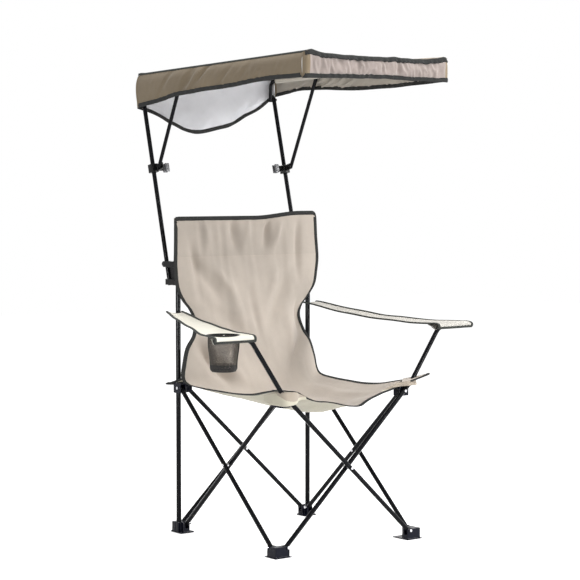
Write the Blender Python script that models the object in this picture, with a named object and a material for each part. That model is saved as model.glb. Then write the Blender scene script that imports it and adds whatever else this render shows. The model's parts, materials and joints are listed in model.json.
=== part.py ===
"""Canopy folding chair: a scissor-leg camp chair with a sling seat, cloth armrests and a shade.

Units are metres, +Z is up and the chair faces -Y. Right and left are the sitter's, so right
is -X. The origin lies on the floor, under the middle of the chair's bounding box.
"""
import math

import bmesh
import bpy
from mathutils import Matrix, Vector

# Scissor frame. The pivot span is the same across and along the chair, so the fold closes.
PIVOT_SPAN = 0.460
FOOT_PIVOT_Z = 0.029
HUB_PIVOT_Z = 0.457
SIDE_PIVOT_IN = 0.022
CROSS_PIVOT_IN = 0.028
TUBE_D = 0.014
TUBE_WALL = 0.0012
TUBE_PAST_PIVOT = 0.008
TUBE_PLANE_STEP = 0.020
SIDE_DOWN_OUT = 0.006
REAR_DOWN_IN = 0.0035
FRONT_UP_OUT = 0.0265
UPRIGHT_D = 0.016
UPRIGHT_WALL = 0.0012
UPRIGHT_TOP_Z = 0.988
UPRIGHT_BOTTOM_Z = 0.009

# Arm posts, which carry on from the front tubes above the hubs
ARM_KINK_PAST_HUB = 0.044
ARM_POST_SLOPE = math.radians(55)
ARM_KINK_RADIUS = 0.060
ARM_BEND_RADIUS = 0.040
ARM_TUBE_Z = 0.648
ARM_END_X = 0.500
ARM_BEND_STEPS = 5

# Clearances
GAP = 0.0003
SLOT_CLEAR = 0.001
HUB_FACE_GAP = 0.001
CUT_OVERRUN = 0.004

# Plastic feet and hubs
EAR = 0.005
FOOT_HEIGHT = 0.038
FOOT_INNER_REACH = 0.014
SIDE_HOUSING_REACH = 0.013
FLANGE_HEIGHT = 0.005
FLANGE_WIDER = 0.003
REAR_HUB_HEIGHT = 0.034
FRONT_HUB_HEIGHT = 0.034
FRONT_HUB_REACH = 0.010
SOCKET_WALL = 0.004
BLOCK_EDGE = 0.0025

# Steel rivets
PIN_D = 0.0048
PIN_HEAD_D = 0.009
PIN_HEAD_H = 0.002
PIN_SEAT = 0.004
RIVET_BUSH_D = 0.010

# Canopy bracket, its thumb screw and the pole that it holds
POLE_D = 0.014
POLE_WALL = 0.001
POLE_OUT = 0.0045
POLE_BEHIND = 0.03725
POLE_FOOT_Z = 0.775
POLE_TILT = math.atan(0.25)
POLE_PIVOT_Z = 1.372
POLE_PAST_PIVOT = 0.007
BRACKET_LOW_Z = 0.785
BRACKET_SPAN = 0.055
BRACKET_ARM_H = 0.019
BRACKET_WALL = 0.0035
BRACKET_TAIL = 0.0035
BRACKET_GRIP = 0.004
BRACKET_WEB = 0.004
KNOB_D = 0.019
KNOB_H = 0.0075
KNOB_CHAMFER = 0.0019
KNOB_SHANK_D = 0.0045
KNOB_SHANK_L = 0.0025

# Sliding clamp, strut and canopy rail
CLAMP_UP_POLE = 0.3755
CLAMP_H = 0.027
CLAMP_WALL = 0.0055
EAR_FORWARD = 0.035
EAR_THICK = 0.004
EAR_WIDTH = 0.020
EAR_PAST_PIVOT = 0.008
CLIP_FORWARD = 0.008
CLIP_INWARD = 0.051
CLIP_DEPTH = 0.016
CLIP_BORE_D = 0.013
CLIP_ARM = 0.006
STRUT_D = 0.012
STRUT_WALL = 0.001
STRUT_PAST_PIVOT = 0.0045
RAIL_D = 0.012
RAIL_WALL = 0.001
RAIL_IN = 0.014
RAIL_RISE = 0.060
RAIL_BEND_RADIUS = 0.020
RAIL_BEND_STEPS = 4
RAIL_FRONT_GAP = 0.012
RAIL_STUD_BACK = 0.226
RAIL_STUD_DROP = 0.002

# Canopy cloth
CANOPY_PAST_RAIL = 0.027
CANOPY_PAST_POLE = 0.0118
CANOPY_FRONT_REACH = 0.4020
CANOPY_FRONT_RISE = 0.026
CANOPY_SAG = 0.012
CANOPY_CLOTH = 0.0025
SIDE_DROP_BACK = 0.100
SIDE_DROP_FRONT = 0.065
REAR_HEM_SAG = 0.092

# Sling cloth: one piece on the chair, held by the upright tops and the four hubs
SLING_T = 0.003
BACK_LEAN = 0.100
SEAT_LIFT = 0.050
SEAT_SAG = 0.062
SLING_COLUMNS = 14
PLEATS = 3
PLEAT_DEPTH = 0.0025
EDGE_POWER = 1.6
SEAM_GAP = 0.0005

# Armrest cloth and the cup holder under the right one
ARM_CLOTH = 0.003
ARM_INNER_X = 0.362
ARM_OUTER_X = 0.508
ARM_FRONT_LIP = 0.012
ARM_LEVEL_RUN = 0.115
ARM_REAR_Z = 0.700
ARM_REAR_INNER_X = 0.238
ARM_REAR_OUTER_X = 0.300
ARM_SAG = 0.030
ARM_ROWS = 10
ARM_COLUMNS = 4
CUP_X = 0.428
CUP_BEHIND_TUBE = 0.055
CUP_MOUTH_D = 0.088
CUP_FLOOR_D = 0.078
CUP_DEPTH = 0.100
CUP_WALL = 0.002

# Facets
TUBE_SIDES = 10
PIN_SIDES = 10
BORE_SIDES = 12
ROUND_SIDES = 20
BEVEL_STEPS = 2
SHARP_FROM = math.radians(40)
CANOPY_COLUMNS = 10
CANOPY_ROWS = 10

# Places that follow from the sizes above
UPRIGHT_X = PIVOT_SPAN / 2 + CROSS_PIVOT_IN
UPRIGHT_Y = PIVOT_SPAN / 2 + SIDE_PIVOT_IN
PIVOT_X = PIVOT_SPAN / 2
PIVOT_Y = PIVOT_SPAN / 2
SIDE_DOWN_X = UPRIGHT_X + SIDE_DOWN_OUT
SIDE_UP_X = SIDE_DOWN_X - TUBE_PLANE_STEP
REAR_DOWN_Y = UPRIGHT_Y - REAR_DOWN_IN
REAR_UP_Y = REAR_DOWN_Y + TUBE_PLANE_STEP
FRONT_UP_Y = -(PIVOT_Y + FRONT_UP_OUT)
FRONT_DOWN_Y = FRONT_UP_Y - TUBE_PLANE_STEP
TUBE_SLOPE = math.atan2(HUB_PIVOT_Z - FOOT_PIVOT_Z, PIVOT_SPAN)
CROSSING_Z = (FOOT_PIVOT_Z + HUB_PIVOT_Z) / 2
TUBE_R = TUBE_D / 2
SLOT_HALF = TUBE_R + SLOT_CLEAR
SWEEP = math.hypot(TUBE_PAST_PIVOT, TUBE_R) + SLOT_CLEAR
POLE_X = UPRIGHT_X + POLE_OUT
POLE_FOOT_Y = UPRIGHT_Y + POLE_BEHIND
POLE_PIVOT_Y = POLE_FOOT_Y + (POLE_PIVOT_Z - POLE_FOOT_Z) * math.tan(POLE_TILT)
BRACKET_HIGH_Z = BRACKET_LOW_Z + BRACKET_SPAN
RAIL_X = POLE_X - RAIL_IN
CANOPY_HALF_WIDTH = RAIL_X + CANOPY_PAST_RAIL
CANOPY_BACK_REACH = POLE_PIVOT_Y + CANOPY_PAST_POLE
FRAME_MID_Y = (CANOPY_FRONT_REACH - CANOPY_BACK_REACH) / 2
X, Y, Z = Vector((1, 0, 0)), Vector((0, 1, 0)), Vector((0, 0, 1))

# Sling rows from the top edge down to the seat's rear line. Shares: edge height and middle
# height of the stretch from hub to upright top, half width of the upright's, edge lean and
# middle lean of the back's lean.
BACK_ROW_SHARES = (
    (0.994, 0.983, 1.078, 0.00, 0.03),
    (0.891, 0.881, 1.078, 0.00, 0.06),
    (0.797, 0.778, 1.081, 0.00, 0.10),
    (0.702, 0.674, 1.085, 0.01, 0.16),
    (0.589, 0.552, 1.058, 0.02, 0.24),
    (0.514, 0.458, 0.977, 0.02, 0.32),
    (0.458, 0.392, 0.878, 0.02, 0.38),
    (0.392, 0.307, 0.822, 0.07, 0.48),
    (0.307, 0.203, 0.860, 0.17, 0.62),
    (0.232, 0.109, 0.963, 0.18, 0.80),
    (0.137, 0.034, 1.023, 0.22, 1.02),
    (0.062, -0.032, 1.050, 0.26, 1.27),
)
# Seat rows from the rear line to the front edge. Shares: edge depth and middle depth of the
# upright's, half width of the upright's, edge lift of the seat's lift, middle sag of its sag.
SEAT_ROW_SHARES = (
    (0.858, 0.456, 1.050, 0.66, 0.274),
    (0.754, 0.337, 1.039, 0.30, 0.629),
    (0.476, 0.159, 1.016, 0.18, 0.871),
    (0.159, -0.040, 0.992, 0.14, 0.968),
    (-0.159, -0.238, 0.977, 0.12, 1.000),
    (-0.476, -0.476, 0.977, 0.22, 0.952),
    (-0.754, -0.714, 1.000, 0.80, 0.839),
    (-0.921, -0.881, 1.016, 0.95, 0.629),
    (-0.974, -0.974, 1.020, 1.04, 0.468),
)
SEAT_SPLIT_ROW = 3
# Rows of the canopy's walls below the roof's edge, as shares of the wall's drop
WALL_ROW_SHARES = (0.5, 1.0)


def clear_scene():
    for item in list(bpy.data.objects):
        bpy.data.objects.remove(item, do_unlink=True)


def material(name, colour, roughness, metallic=0.0):
    made = bpy.data.materials.new(name)
    made.use_nodes = True
    shader = made.node_tree.nodes["Principled BSDF"]
    shader.inputs["Base Color"].default_value = (*colour, 1.0)
    shader.inputs["Roughness"].default_value = roughness
    shader.inputs["Metallic"].default_value = metallic
    return made


def place(name, mesh, finish, origin=None):
    """Put a closed mesh, modelled in the chair's frame, into an object with its origin where asked."""
    origin = Vector(origin) if origin is not None else Vector()
    bmesh.ops.recalc_face_normals(mesh, faces=mesh.faces)
    bmesh.ops.translate(mesh, verts=mesh.verts, vec=-origin)
    data = bpy.data.meshes.new(name)
    mesh.to_mesh(data)
    mesh.free()
    data.shade_smooth()
    data.set_sharp_from_angle(angle=SHARP_FROM)
    made = bpy.data.objects.new(name, data)
    bpy.context.scene.collection.objects.link(made)
    made.parent = CHAIR
    made.location = origin
    if finish is not None:
        data.materials.append(finish)
    return made


def tool(name, mesh, target, operation):
    """Add or cut a shape with a Boolean whose tool stays hidden."""
    guide = place(name, mesh, None)
    guide.hide_render = True
    guide.display_type = "WIRE"
    step = target.modifiers.new(name, "BOOLEAN")
    step.operation = operation
    step.solver = "EXACT"
    step.object = guide


def cut(target, mesh):
    tool(f"cut_{target.name}_{len(target.modifiers)}", mesh, target, "DIFFERENCE")


def fuse(target, mesh):
    tool(f"add_{target.name}_{len(target.modifiers)}", mesh, target, "UNION")


def around(apothem, sides):
    """Corner radius of a polygon whose flats stand this far from its middle."""
    return apothem / math.cos(math.pi / sides)


def box(low, high, edge=None):
    """A box between two corners given in any order, with its upright edges rounded if asked."""
    corners = [sorted((low[i], high[i])) for i in range(3)]
    mesh = bmesh.new()
    bmesh.ops.create_cube(mesh, size=1)
    for vert in mesh.verts:
        vert.co = Vector([corners[i][0] if vert.co[i] < 0 else corners[i][1] for i in range(3)])
    if edge:
        runs = [(e, (e.verts[0].co - e.verts[1].co).normalized()) for e in mesh.edges]
        upright = [e for e, run in runs if abs(run.dot(Z)) > 0.5]
        bmesh.ops.bevel(mesh, geom=upright, offset=edge, segments=BEVEL_STEPS, profile=0.5, affect="EDGES")
    return mesh


def spokes(side, other, count):
    """Unit directions to the corners of a polygon, which has flats towards the two given directions."""
    turns = [2 * math.pi * (i + 0.5) / count for i in range(count)]
    return [math.cos(turn) * side + math.sin(turn) * other for turn in turns]


def turned(profile, start, axis, sides):
    """A solid turned about an axis from pairs of distance along it and radius."""
    axis = Vector(axis).normalized()
    side = axis.orthogonal().normalized()
    other = axis.cross(side)
    mesh = bmesh.new()
    rings = []
    for along, radius in profile:
        middle = Vector(start) + axis * along
        rings.append([mesh.verts.new(middle + radius * spoke) for spoke in spokes(side, other, sides)])
    for one, two in zip(rings, rings[1:]):
        for i in range(sides):
            mesh.faces.new((one[i], one[(i + 1) % sides], two[(i + 1) % sides], two[i]))
    mesh.faces.new(rings[0])
    mesh.faces.new(rings[-1])
    return mesh


def rod(start, end, radius, sides):
    start, end = Vector(start), Vector(end)
    return turned([(0, radius), ((end - start).length, radius)], start, end - start, sides)


def rounded(points, radii, steps):
    """A route through points whose inner corners are arcs of the given radii."""
    route = [Vector(points[0])]
    for i, radius in zip(range(1, len(points) - 1), radii):
        corner = Vector(points[i])
        back = (Vector(points[i - 1]) - corner).normalized()
        ahead = (Vector(points[i + 1]) - corner).normalized()
        half = back.angle(ahead) / 2
        reach = radius / math.tan(half)
        centre = corner + (back + ahead).normalized() * radius / math.sin(half)
        first, last = corner + back * reach - centre, corner + ahead * reach - centre
        turn = first.angle(last)
        for k in range(steps + 1):
            share = k / steps
            spoke = first * math.sin((1 - share) * turn) + last * math.sin(share * turn)
            route.append(centre + spoke / math.sin(turn))
    route.append(Vector(points[-1]))
    return route


def hollow_tube(route, normal, outer_d, wall):
    """A tube open at both ends, swept along a route that lies in one plane."""
    route = [Vector(p) for p in route]
    mesh = bmesh.new()
    skins = []
    for radius in (outer_d / 2, outer_d / 2 - wall):
        rings = []
        for i, point in enumerate(route):
            ahead = route[i + 1] - point if i < len(route) - 1 else point - route[i - 1]
            back = point - route[i - 1] if i else ahead
            side = (ahead.normalized() + back.normalized()).cross(normal).normalized()
            around_point = spokes(normal, side, TUBE_SIDES)
            rings.append([mesh.verts.new(point + radius * spoke) for spoke in around_point])
        for one, two in zip(rings, rings[1:]):
            for k in range(TUBE_SIDES):
                mesh.faces.new((one[k], one[(k + 1) % TUBE_SIDES], two[(k + 1) % TUBE_SIDES], two[k]))
        skins.append(rings)
    for end in (0, -1):
        outer, inner = skins[0][end], skins[1][end]
        for k in range(TUBE_SIDES):
            mesh.faces.new((outer[k], outer[(k + 1) % TUBE_SIDES], inner[(k + 1) % TUBE_SIDES], inner[k]))
    return mesh


def bore(target, start, end, fit_d):
    """Cut a hole between two points that a round piece of the given diameter can turn in."""
    cut(target, rod(start, end, around(fit_d / 2 + GAP, BORE_SIDES), BORE_SIDES))


def drill(target, point, axis, depth, fit_d):
    """Cut such a hole for a depth to both sides of a point."""
    reach = Vector(axis) * depth
    bore(target, Vector(point) - reach, Vector(point) + reach, fit_d)


def skins(rows, thickness):
    """The two faces of a cloth of even thickness about a grid of points."""
    faces = ([], [])
    count, across = len(rows), len(rows[0])
    for i in range(count):
        for face in faces:
            face.append([])
        for j in range(across):
            down = rows[min(i + 1, count - 1)][j] - rows[max(i - 1, 0)][j]
            over = rows[i][min(j + 1, across - 1)] - rows[i][max(j - 1, 0)]
            normal = down.cross(over).normalized()
            for face, sign in zip(faces, (1, -1)):
                face[i].append(rows[i][j] + normal * sign * thickness / 2)
    return faces


def sheet(faces):
    """A closed cloth solid between two faces with the same grid."""
    mesh = bmesh.new()
    front, back = [[[mesh.verts.new(p) for p in row] for row in face] for face in faces]
    count, across = len(front), len(front[0])
    for skin in (front, back):
        for i in range(count - 1):
            for j in range(across - 1):
                mesh.faces.new((skin[i][j], skin[i][j + 1], skin[i + 1][j + 1], skin[i + 1][j]))
    rim = [(0, j) for j in range(across)] + [(i, across - 1) for i in range(1, count)]
    rim += [(count - 1, j) for j in range(across - 2, -1, -1)] + [(i, 0) for i in range(count - 2, 0, -1)]
    for (a, b), (c, d) in zip(rim, rim[1:] + rim[:1]):
        mesh.faces.new((front[a][b], front[c][d], back[c][d], back[a][b]))
    return mesh


def rivet(name, point, axis, length, finish, origin=None):
    """A pivot pin with one head: the head lies at the point and the shank runs along the axis."""
    profile = [(0, PIN_HEAD_D / 2), (PIN_HEAD_H, PIN_HEAD_D / 2)]
    profile += [(PIN_HEAD_H, PIN_D / 2), (length, PIN_D / 2)]
    return place(name, turned(profile, point, axis, PIN_SIDES), finish, origin or point)


# Feet and hubs

def foot(name, across, along, cross_y, side_x, finish):
    """A foot with a slot for the cross tube, a slot for the side tube and, at the rear, a socket."""
    rear = along > 0
    outer_x = across * ((UPRIGHT_X if rear else side_x) + TUBE_R + SLOT_CLEAR + EAR)
    inner_x = across * (PIVOT_X - FOOT_INNER_REACH)
    half = SLOT_HALF + EAR
    near_y = along * (PIVOT_Y - SIDE_HOUSING_REACH)
    origin = (across * PIVOT_X, cross_y, FOOT_PIVOT_Z)
    low, high = (inner_x, cross_y - half, 0), (outer_x, cross_y + half, FOOT_HEIGHT)
    body = place(name, box(low, high, BLOCK_EDGE), finish, origin)
    low, high = (across * (side_x - half), near_y, 0), (across * (side_x + half), cross_y, FOOT_HEIGHT - GAP)
    fuse(body, box(low, high, BLOCK_EDGE))
    if rear:
        wall = UPRIGHT_D / 2 + SOCKET_WALL
        low = (across * (UPRIGHT_X - wall), UPRIGHT_Y - wall, 0)
        high = (across * (UPRIGHT_X + wall), UPRIGHT_Y + wall, FOOT_HEIGHT + SLOT_CLEAR)
        fuse(body, box(low, high, BLOCK_EDGE))
        far_y = max(cross_y + half, UPRIGHT_Y + wall)
        low = (inner_x - across * FLANGE_WIDER, near_y - FLANGE_WIDER, 0)
        high = (outer_x + across * FLANGE_WIDER, far_y + FLANGE_WIDER, FLANGE_HEIGHT)
        fuse(body, box(low, high, BLOCK_EDGE))
    floor_z = FOOT_PIVOT_Z - SWEEP
    top = FOOT_HEIGHT + CUT_OVERRUN
    low = (inner_x - across * (FLANGE_WIDER + CUT_OVERRUN), cross_y - SLOT_HALF, floor_z)
    cut(body, box(low, (across * (PIVOT_X + SWEEP), cross_y + SLOT_HALF, top)))
    low = (across * (side_x - SLOT_HALF), near_y - along * (FLANGE_WIDER + CUT_OVERRUN), floor_z)
    cut(body, box(low, (across * (side_x + SLOT_HALF), along * (PIVOT_Y + SWEEP), top)))
    if rear:
        socket = Vector((across * UPRIGHT_X, UPRIGHT_Y, UPRIGHT_BOTTOM_Z - GAP))
        bore(body, socket, socket + Z * FOOT_HEIGHT, UPRIGHT_D)
    return body


def rear_hub(name, across, cross_y, finish):
    """A hub that slides on an upright and carries the tops of a side tube and a cross tube."""
    low_z, high_z = HUB_PIVOT_Z - REAR_HUB_HEIGHT / 2, HUB_PIVOT_Z + REAR_HUB_HEIGHT / 2
    wall, half = UPRIGHT_D / 2 + SOCKET_WALL, SLOT_HALF + EAR
    inner_x = across * (PIVOT_X - FOOT_INNER_REACH)
    near_y = PIVOT_Y - SIDE_HOUSING_REACH
    origin = (across * SIDE_DOWN_X, PIVOT_Y, HUB_PIVOT_Z)
    low = (across * (UPRIGHT_X - wall), UPRIGHT_Y - wall, low_z)
    high = (across * (UPRIGHT_X + wall), UPRIGHT_Y + wall, high_z)
    body = place(name, box(low, high, BLOCK_EDGE), finish, origin)
    low, high = (inner_x, cross_y - half, low_z + GAP), (across * UPRIGHT_X, cross_y + half, high_z - GAP)
    fuse(body, box(low, high, BLOCK_EDGE))
    low = (across * (SIDE_DOWN_X - half), near_y, low_z + SLOT_CLEAR)
    fuse(body, box(low, (across * (SIDE_DOWN_X + half), UPRIGHT_Y, high_z - SLOT_CLEAR), BLOCK_EDGE))
    roof_z = HUB_PIVOT_Z + SWEEP
    low = (inner_x - across * CUT_OVERRUN, cross_y - SLOT_HALF, low_z - CUT_OVERRUN)
    cut(body, box(low, (across * (PIVOT_X + SWEEP), cross_y + SLOT_HALF, roof_z)))
    low = (across * (SIDE_DOWN_X - SLOT_HALF), near_y - CUT_OVERRUN, low_z - CUT_OVERRUN)
    cut(body, box(low, (across * (SIDE_DOWN_X + SLOT_HALF), PIVOT_Y + SWEEP, roof_z)))
    drill(body, (across * UPRIGHT_X, UPRIGHT_Y, HUB_PIVOT_Z), Z, REAR_HUB_HEIGHT, UPRIGHT_D)
    return body


def front_hub(name, across, tube_y, finish):
    """A hub behind a front tube, with a slot for the top of a side tube."""
    low_z, high_z = HUB_PIVOT_Z - FRONT_HUB_HEIGHT / 2, HUB_PIVOT_Z + FRONT_HUB_HEIGHT / 2
    half = SLOT_HALF + EAR
    face_y = tube_y + TUBE_R + HUB_FACE_GAP
    near_y = -(PIVOT_Y - SIDE_HOUSING_REACH)
    origin = (across * SIDE_UP_X, -PIVOT_Y, HUB_PIVOT_Z)
    low = (across * (PIVOT_X - FRONT_HUB_REACH), face_y, low_z)
    body = place(name, box(low, (across * (SIDE_UP_X + half), near_y, high_z), BLOCK_EDGE), finish, origin)
    low = (across * (SIDE_UP_X - SLOT_HALF), near_y + CUT_OVERRUN, low_z - CUT_OVERRUN)
    cut(body, box(low, (across * (SIDE_UP_X + SLOT_HALF), -(PIVOT_Y + SWEEP), HUB_PIVOT_Z + SWEEP)))
    return body


def cross_pin(name, body, across, tube_y, z, outward, finish):
    """The rivet along Y that holds a cross tube's end in a foot or a rear hub."""
    face = Vector((across * PIVOT_X, tube_y + outward * (SLOT_HALF + EAR), z))
    length = GAP + PIN_HEAD_H + 2 * SLOT_HALF + EAR + PIN_SEAT
    made = rivet(name, face + Y * outward * (GAP + PIN_HEAD_H), Y * -outward, length, finish)
    reach = face - Y * outward * (length - PIN_HEAD_H)
    bore(body, face + Y * outward * CUT_OVERRUN, reach, PIN_D)
    return made


def side_pin(name, body, across, along, tube_x, z, outward, finish):
    """The rivet along X that holds a side tube's end in a foot or a hub."""
    face = Vector((across * (tube_x + outward * (SLOT_HALF + EAR)), along * PIVOT_Y, z))
    inward = -X * across * outward
    length = GAP + PIN_HEAD_H + 2 * SLOT_HALF + EAR + PIN_SEAT
    made = rivet(name, face - inward * (GAP + PIN_HEAD_H), inward, length, finish)
    reach = face + inward * (length - PIN_HEAD_H)
    bore(body, face - inward * CUT_OVERRUN, reach, PIN_D)
    return made


def arm_pin(name, body, across, tube_y, finish):
    """The rivet along Y that holds a front tube against the front of its hub."""
    head_y = tube_y - TUBE_R - GAP - PIN_HEAD_H
    seat_y = -(PIVOT_Y + PIN_D)
    start = Vector((across * PIVOT_X, head_y, HUB_PIVOT_Z))
    made = rivet(name, start, Y, seat_y - head_y, finish)
    bore(body, start, start + Y * (seat_y - head_y + GAP), PIN_D)
    return made


def crossing_rivet(name, middle, axis, finish):
    """The rivet at a crossing, with the bush that keeps its two tubes apart."""
    bush = TUBE_PLANE_STEP / 2 - TUBE_R - GAP
    tip = TUBE_PLANE_STEP / 2 + TUBE_R + GAP
    head = tip + PIN_HEAD_H
    profile = [(-head, PIN_HEAD_D / 2), (-tip, PIN_HEAD_D / 2), (-tip, PIN_D / 2)]
    profile += [(-bush, PIN_D / 2), (-bush, RIVET_BUSH_D / 2)]
    profile += [(-along, radius) for along, radius in reversed(profile)]
    return place(name, turned(profile, middle, axis, PIN_SIDES), finish, middle)


# Tubes

def side_tube(name, across, plane_x, rising, finish):
    """A side tube: rising ones go from the rear foot to the front hub, the others from hub to foot."""
    slope = Vector((0, -math.cos(TUBE_SLOPE), math.sin(TUBE_SLOPE) * (1 if rising else -1)))
    start_z, end_z = (FOOT_PIVOT_Z, HUB_PIVOT_Z) if rising else (HUB_PIVOT_Z, FOOT_PIVOT_Z)
    start = Vector((across * plane_x, PIVOT_Y, start_z))
    end = Vector((across * plane_x, -PIVOT_Y, end_z))
    middle = Vector((across * plane_x, 0, CROSSING_Z))
    route = [start - slope * TUBE_PAST_PIVOT, end + slope * TUBE_PAST_PIVOT]
    made = place(name, hollow_tube(route, X, TUBE_D, TUBE_WALL), finish, start if rising else middle)
    for hole in (start, middle, end):
        drill(made, hole, X, TUBE_D, PIN_D)
    return made


def cross_tube(name, plane_y, rising, finish):
    """A rear cross tube: the rising one goes from the right foot to the left hub."""
    slope = Vector((math.cos(TUBE_SLOPE), 0, math.sin(TUBE_SLOPE) * (1 if rising else -1)))
    start_z, end_z = (FOOT_PIVOT_Z, HUB_PIVOT_Z) if rising else (HUB_PIVOT_Z, FOOT_PIVOT_Z)
    start, end = Vector((-PIVOT_X, plane_y, start_z)), Vector((PIVOT_X, plane_y, end_z))
    middle = Vector((0, plane_y, CROSSING_Z))
    route = [start - slope * TUBE_PAST_PIVOT, end + slope * TUBE_PAST_PIVOT]
    made = place(name, hollow_tube(route, Y, TUBE_D, TUBE_WALL), finish, start if rising else middle)
    for hole in (start, middle, end):
        drill(made, hole, Y, TUBE_D, PIN_D)
    return made


def arm_corner(across, plane_y):
    """Where the arm post's slope meets its level run, and where it leaves the scissor's slope."""
    hub = Vector((across * PIVOT_X, plane_y, HUB_PIVOT_Z))
    kink = hub + ARM_KINK_PAST_HUB * Vector((across * math.cos(TUBE_SLOPE), 0, math.sin(TUBE_SLOPE)))
    run = (ARM_TUBE_Z - kink.z) / math.tan(ARM_POST_SLOPE)
    return kink, Vector((kink.x + across * run, plane_y, ARM_TUBE_Z))


def front_tube(name, across, plane_y, finish):
    """A front tube from the foot on one side, past the hub on the other and on into the arm post."""
    foot_pivot = Vector((-across * PIVOT_X, plane_y, FOOT_PIVOT_Z))
    hub_pivot = Vector((across * PIVOT_X, plane_y, HUB_PIVOT_Z))
    slope = (hub_pivot - foot_pivot).normalized()
    kink, corner = arm_corner(across, plane_y)
    end = Vector((across * ARM_END_X, plane_y, ARM_TUBE_Z))
    points = [foot_pivot - slope * TUBE_PAST_PIVOT, kink, corner, end]
    route = rounded(points, (ARM_KINK_RADIUS, ARM_BEND_RADIUS), ARM_BEND_STEPS)
    middle = Vector((0, plane_y, CROSSING_Z))
    rising = across > 0
    made = place(name, hollow_tube(route, Y, TUBE_D, TUBE_WALL), finish, foot_pivot if rising else middle)
    for hole in (foot_pivot, middle, hub_pivot):
        drill(made, hole, Y, TUBE_D, PIN_D)
    return made


def upright(name, across, finish):
    low = Vector((across * UPRIGHT_X, UPRIGHT_Y, UPRIGHT_BOTTOM_Z))
    high = Vector((across * UPRIGHT_X, UPRIGHT_Y, UPRIGHT_TOP_Z))
    return place(name, hollow_tube([low, high], X, UPRIGHT_D, UPRIGHT_WALL), finish, low)


# Canopy frame

def pole_point(across, z):
    """The point on a pole's middle line at a height."""
    return Vector((across * POLE_X, POLE_FOOT_Y + (z - POLE_FOOT_Z) * math.tan(POLE_TILT), z))


def square_to_pole():
    return Vector((0, -math.cos(POLE_TILT), math.sin(POLE_TILT)))


def pole_along():
    return Vector((0, math.sin(POLE_TILT), math.cos(POLE_TILT)))


def pole(name, across, finish):
    foot_point, pivot = pole_point(across, POLE_FOOT_Z), pole_point(across, POLE_PIVOT_Z)
    route = [foot_point, pivot + pole_along() * POLE_PAST_PIVOT]
    made = place(name, hollow_tube(route, X, POLE_D, POLE_WALL), finish, foot_point)
    drill(made, pivot, X, POLE_D, PIN_D)
    return made


def knob_seat(across):
    """The middle of the flat behind the bracket's upper arm, where the thumb screw goes in."""
    back_y = pole_point(across, BRACKET_HIGH_Z).y + POLE_D / 2 + BRACKET_TAIL
    return Vector((across * POLE_X, back_y, BRACKET_HIGH_Z))


def bracket(name, across, finish):
    """Two arms joined by a web, each snapped on the upright from behind and clamped on the pole."""
    outer = across * (POLE_X + POLE_D / 2 + BRACKET_WALL)
    inner = across * (UPRIGHT_X - UPRIGHT_D / 2 - BRACKET_WALL)
    front_y = UPRIGHT_Y - BRACKET_GRIP
    made = None
    for z in (BRACKET_LOW_Z, BRACKET_HIGH_Z):
        back_y = pole_point(across, z).y + POLE_D / 2 + BRACKET_TAIL
        arm = box((inner, front_y, z - BRACKET_ARM_H / 2), (outer, back_y, z + BRACKET_ARM_H / 2), BLOCK_EDGE)
        if made is None:
            made = place(name, arm, finish, (across * UPRIGHT_X, UPRIGHT_Y, z))
        else:
            fuse(made, arm)
    web_x = across * (UPRIGHT_X + POLE_X) / 2
    low = (web_x - BRACKET_WEB / 2, UPRIGHT_Y, BRACKET_LOW_Z)
    fuse(made, box(low, (web_x + BRACKET_WEB / 2, pole_point(across, BRACKET_HIGH_Z).y, BRACKET_HIGH_Z)))
    middle_z = (BRACKET_LOW_Z + BRACKET_HIGH_Z) / 2
    reach = BRACKET_HIGH_Z - middle_z + BRACKET_ARM_H / 2 + CUT_OVERRUN
    drill(made, (across * UPRIGHT_X, UPRIGHT_Y, middle_z), Z, reach, UPRIGHT_D)
    drill(made, pole_point(across, middle_z), pole_along(), reach / math.cos(POLE_TILT), POLE_D)
    seat = knob_seat(across)
    bore(made, seat + Y * CUT_OVERRUN, seat - Y * (KNOB_SHANK_L + GAP), KNOB_SHANK_D)
    return made


def thumb_screw(name, across, finish):
    start = knob_seat(across) - Y * (KNOB_SHANK_L - GAP)
    far = KNOB_SHANK_L + KNOB_H
    profile = [(0, KNOB_SHANK_D / 2), (KNOB_SHANK_L, KNOB_SHANK_D / 2), (KNOB_SHANK_L, KNOB_D / 2)]
    profile += [(far - KNOB_CHAMFER, KNOB_D / 2), (far, KNOB_D / 2 - KNOB_CHAMFER)]
    return place(name, turned(profile, start, Y, ROUND_SIDES), finish, start)


def clamp_centre(across):
    return pole_point(across, POLE_FOOT_Z) + pole_along() * CLAMP_UP_POLE


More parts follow.
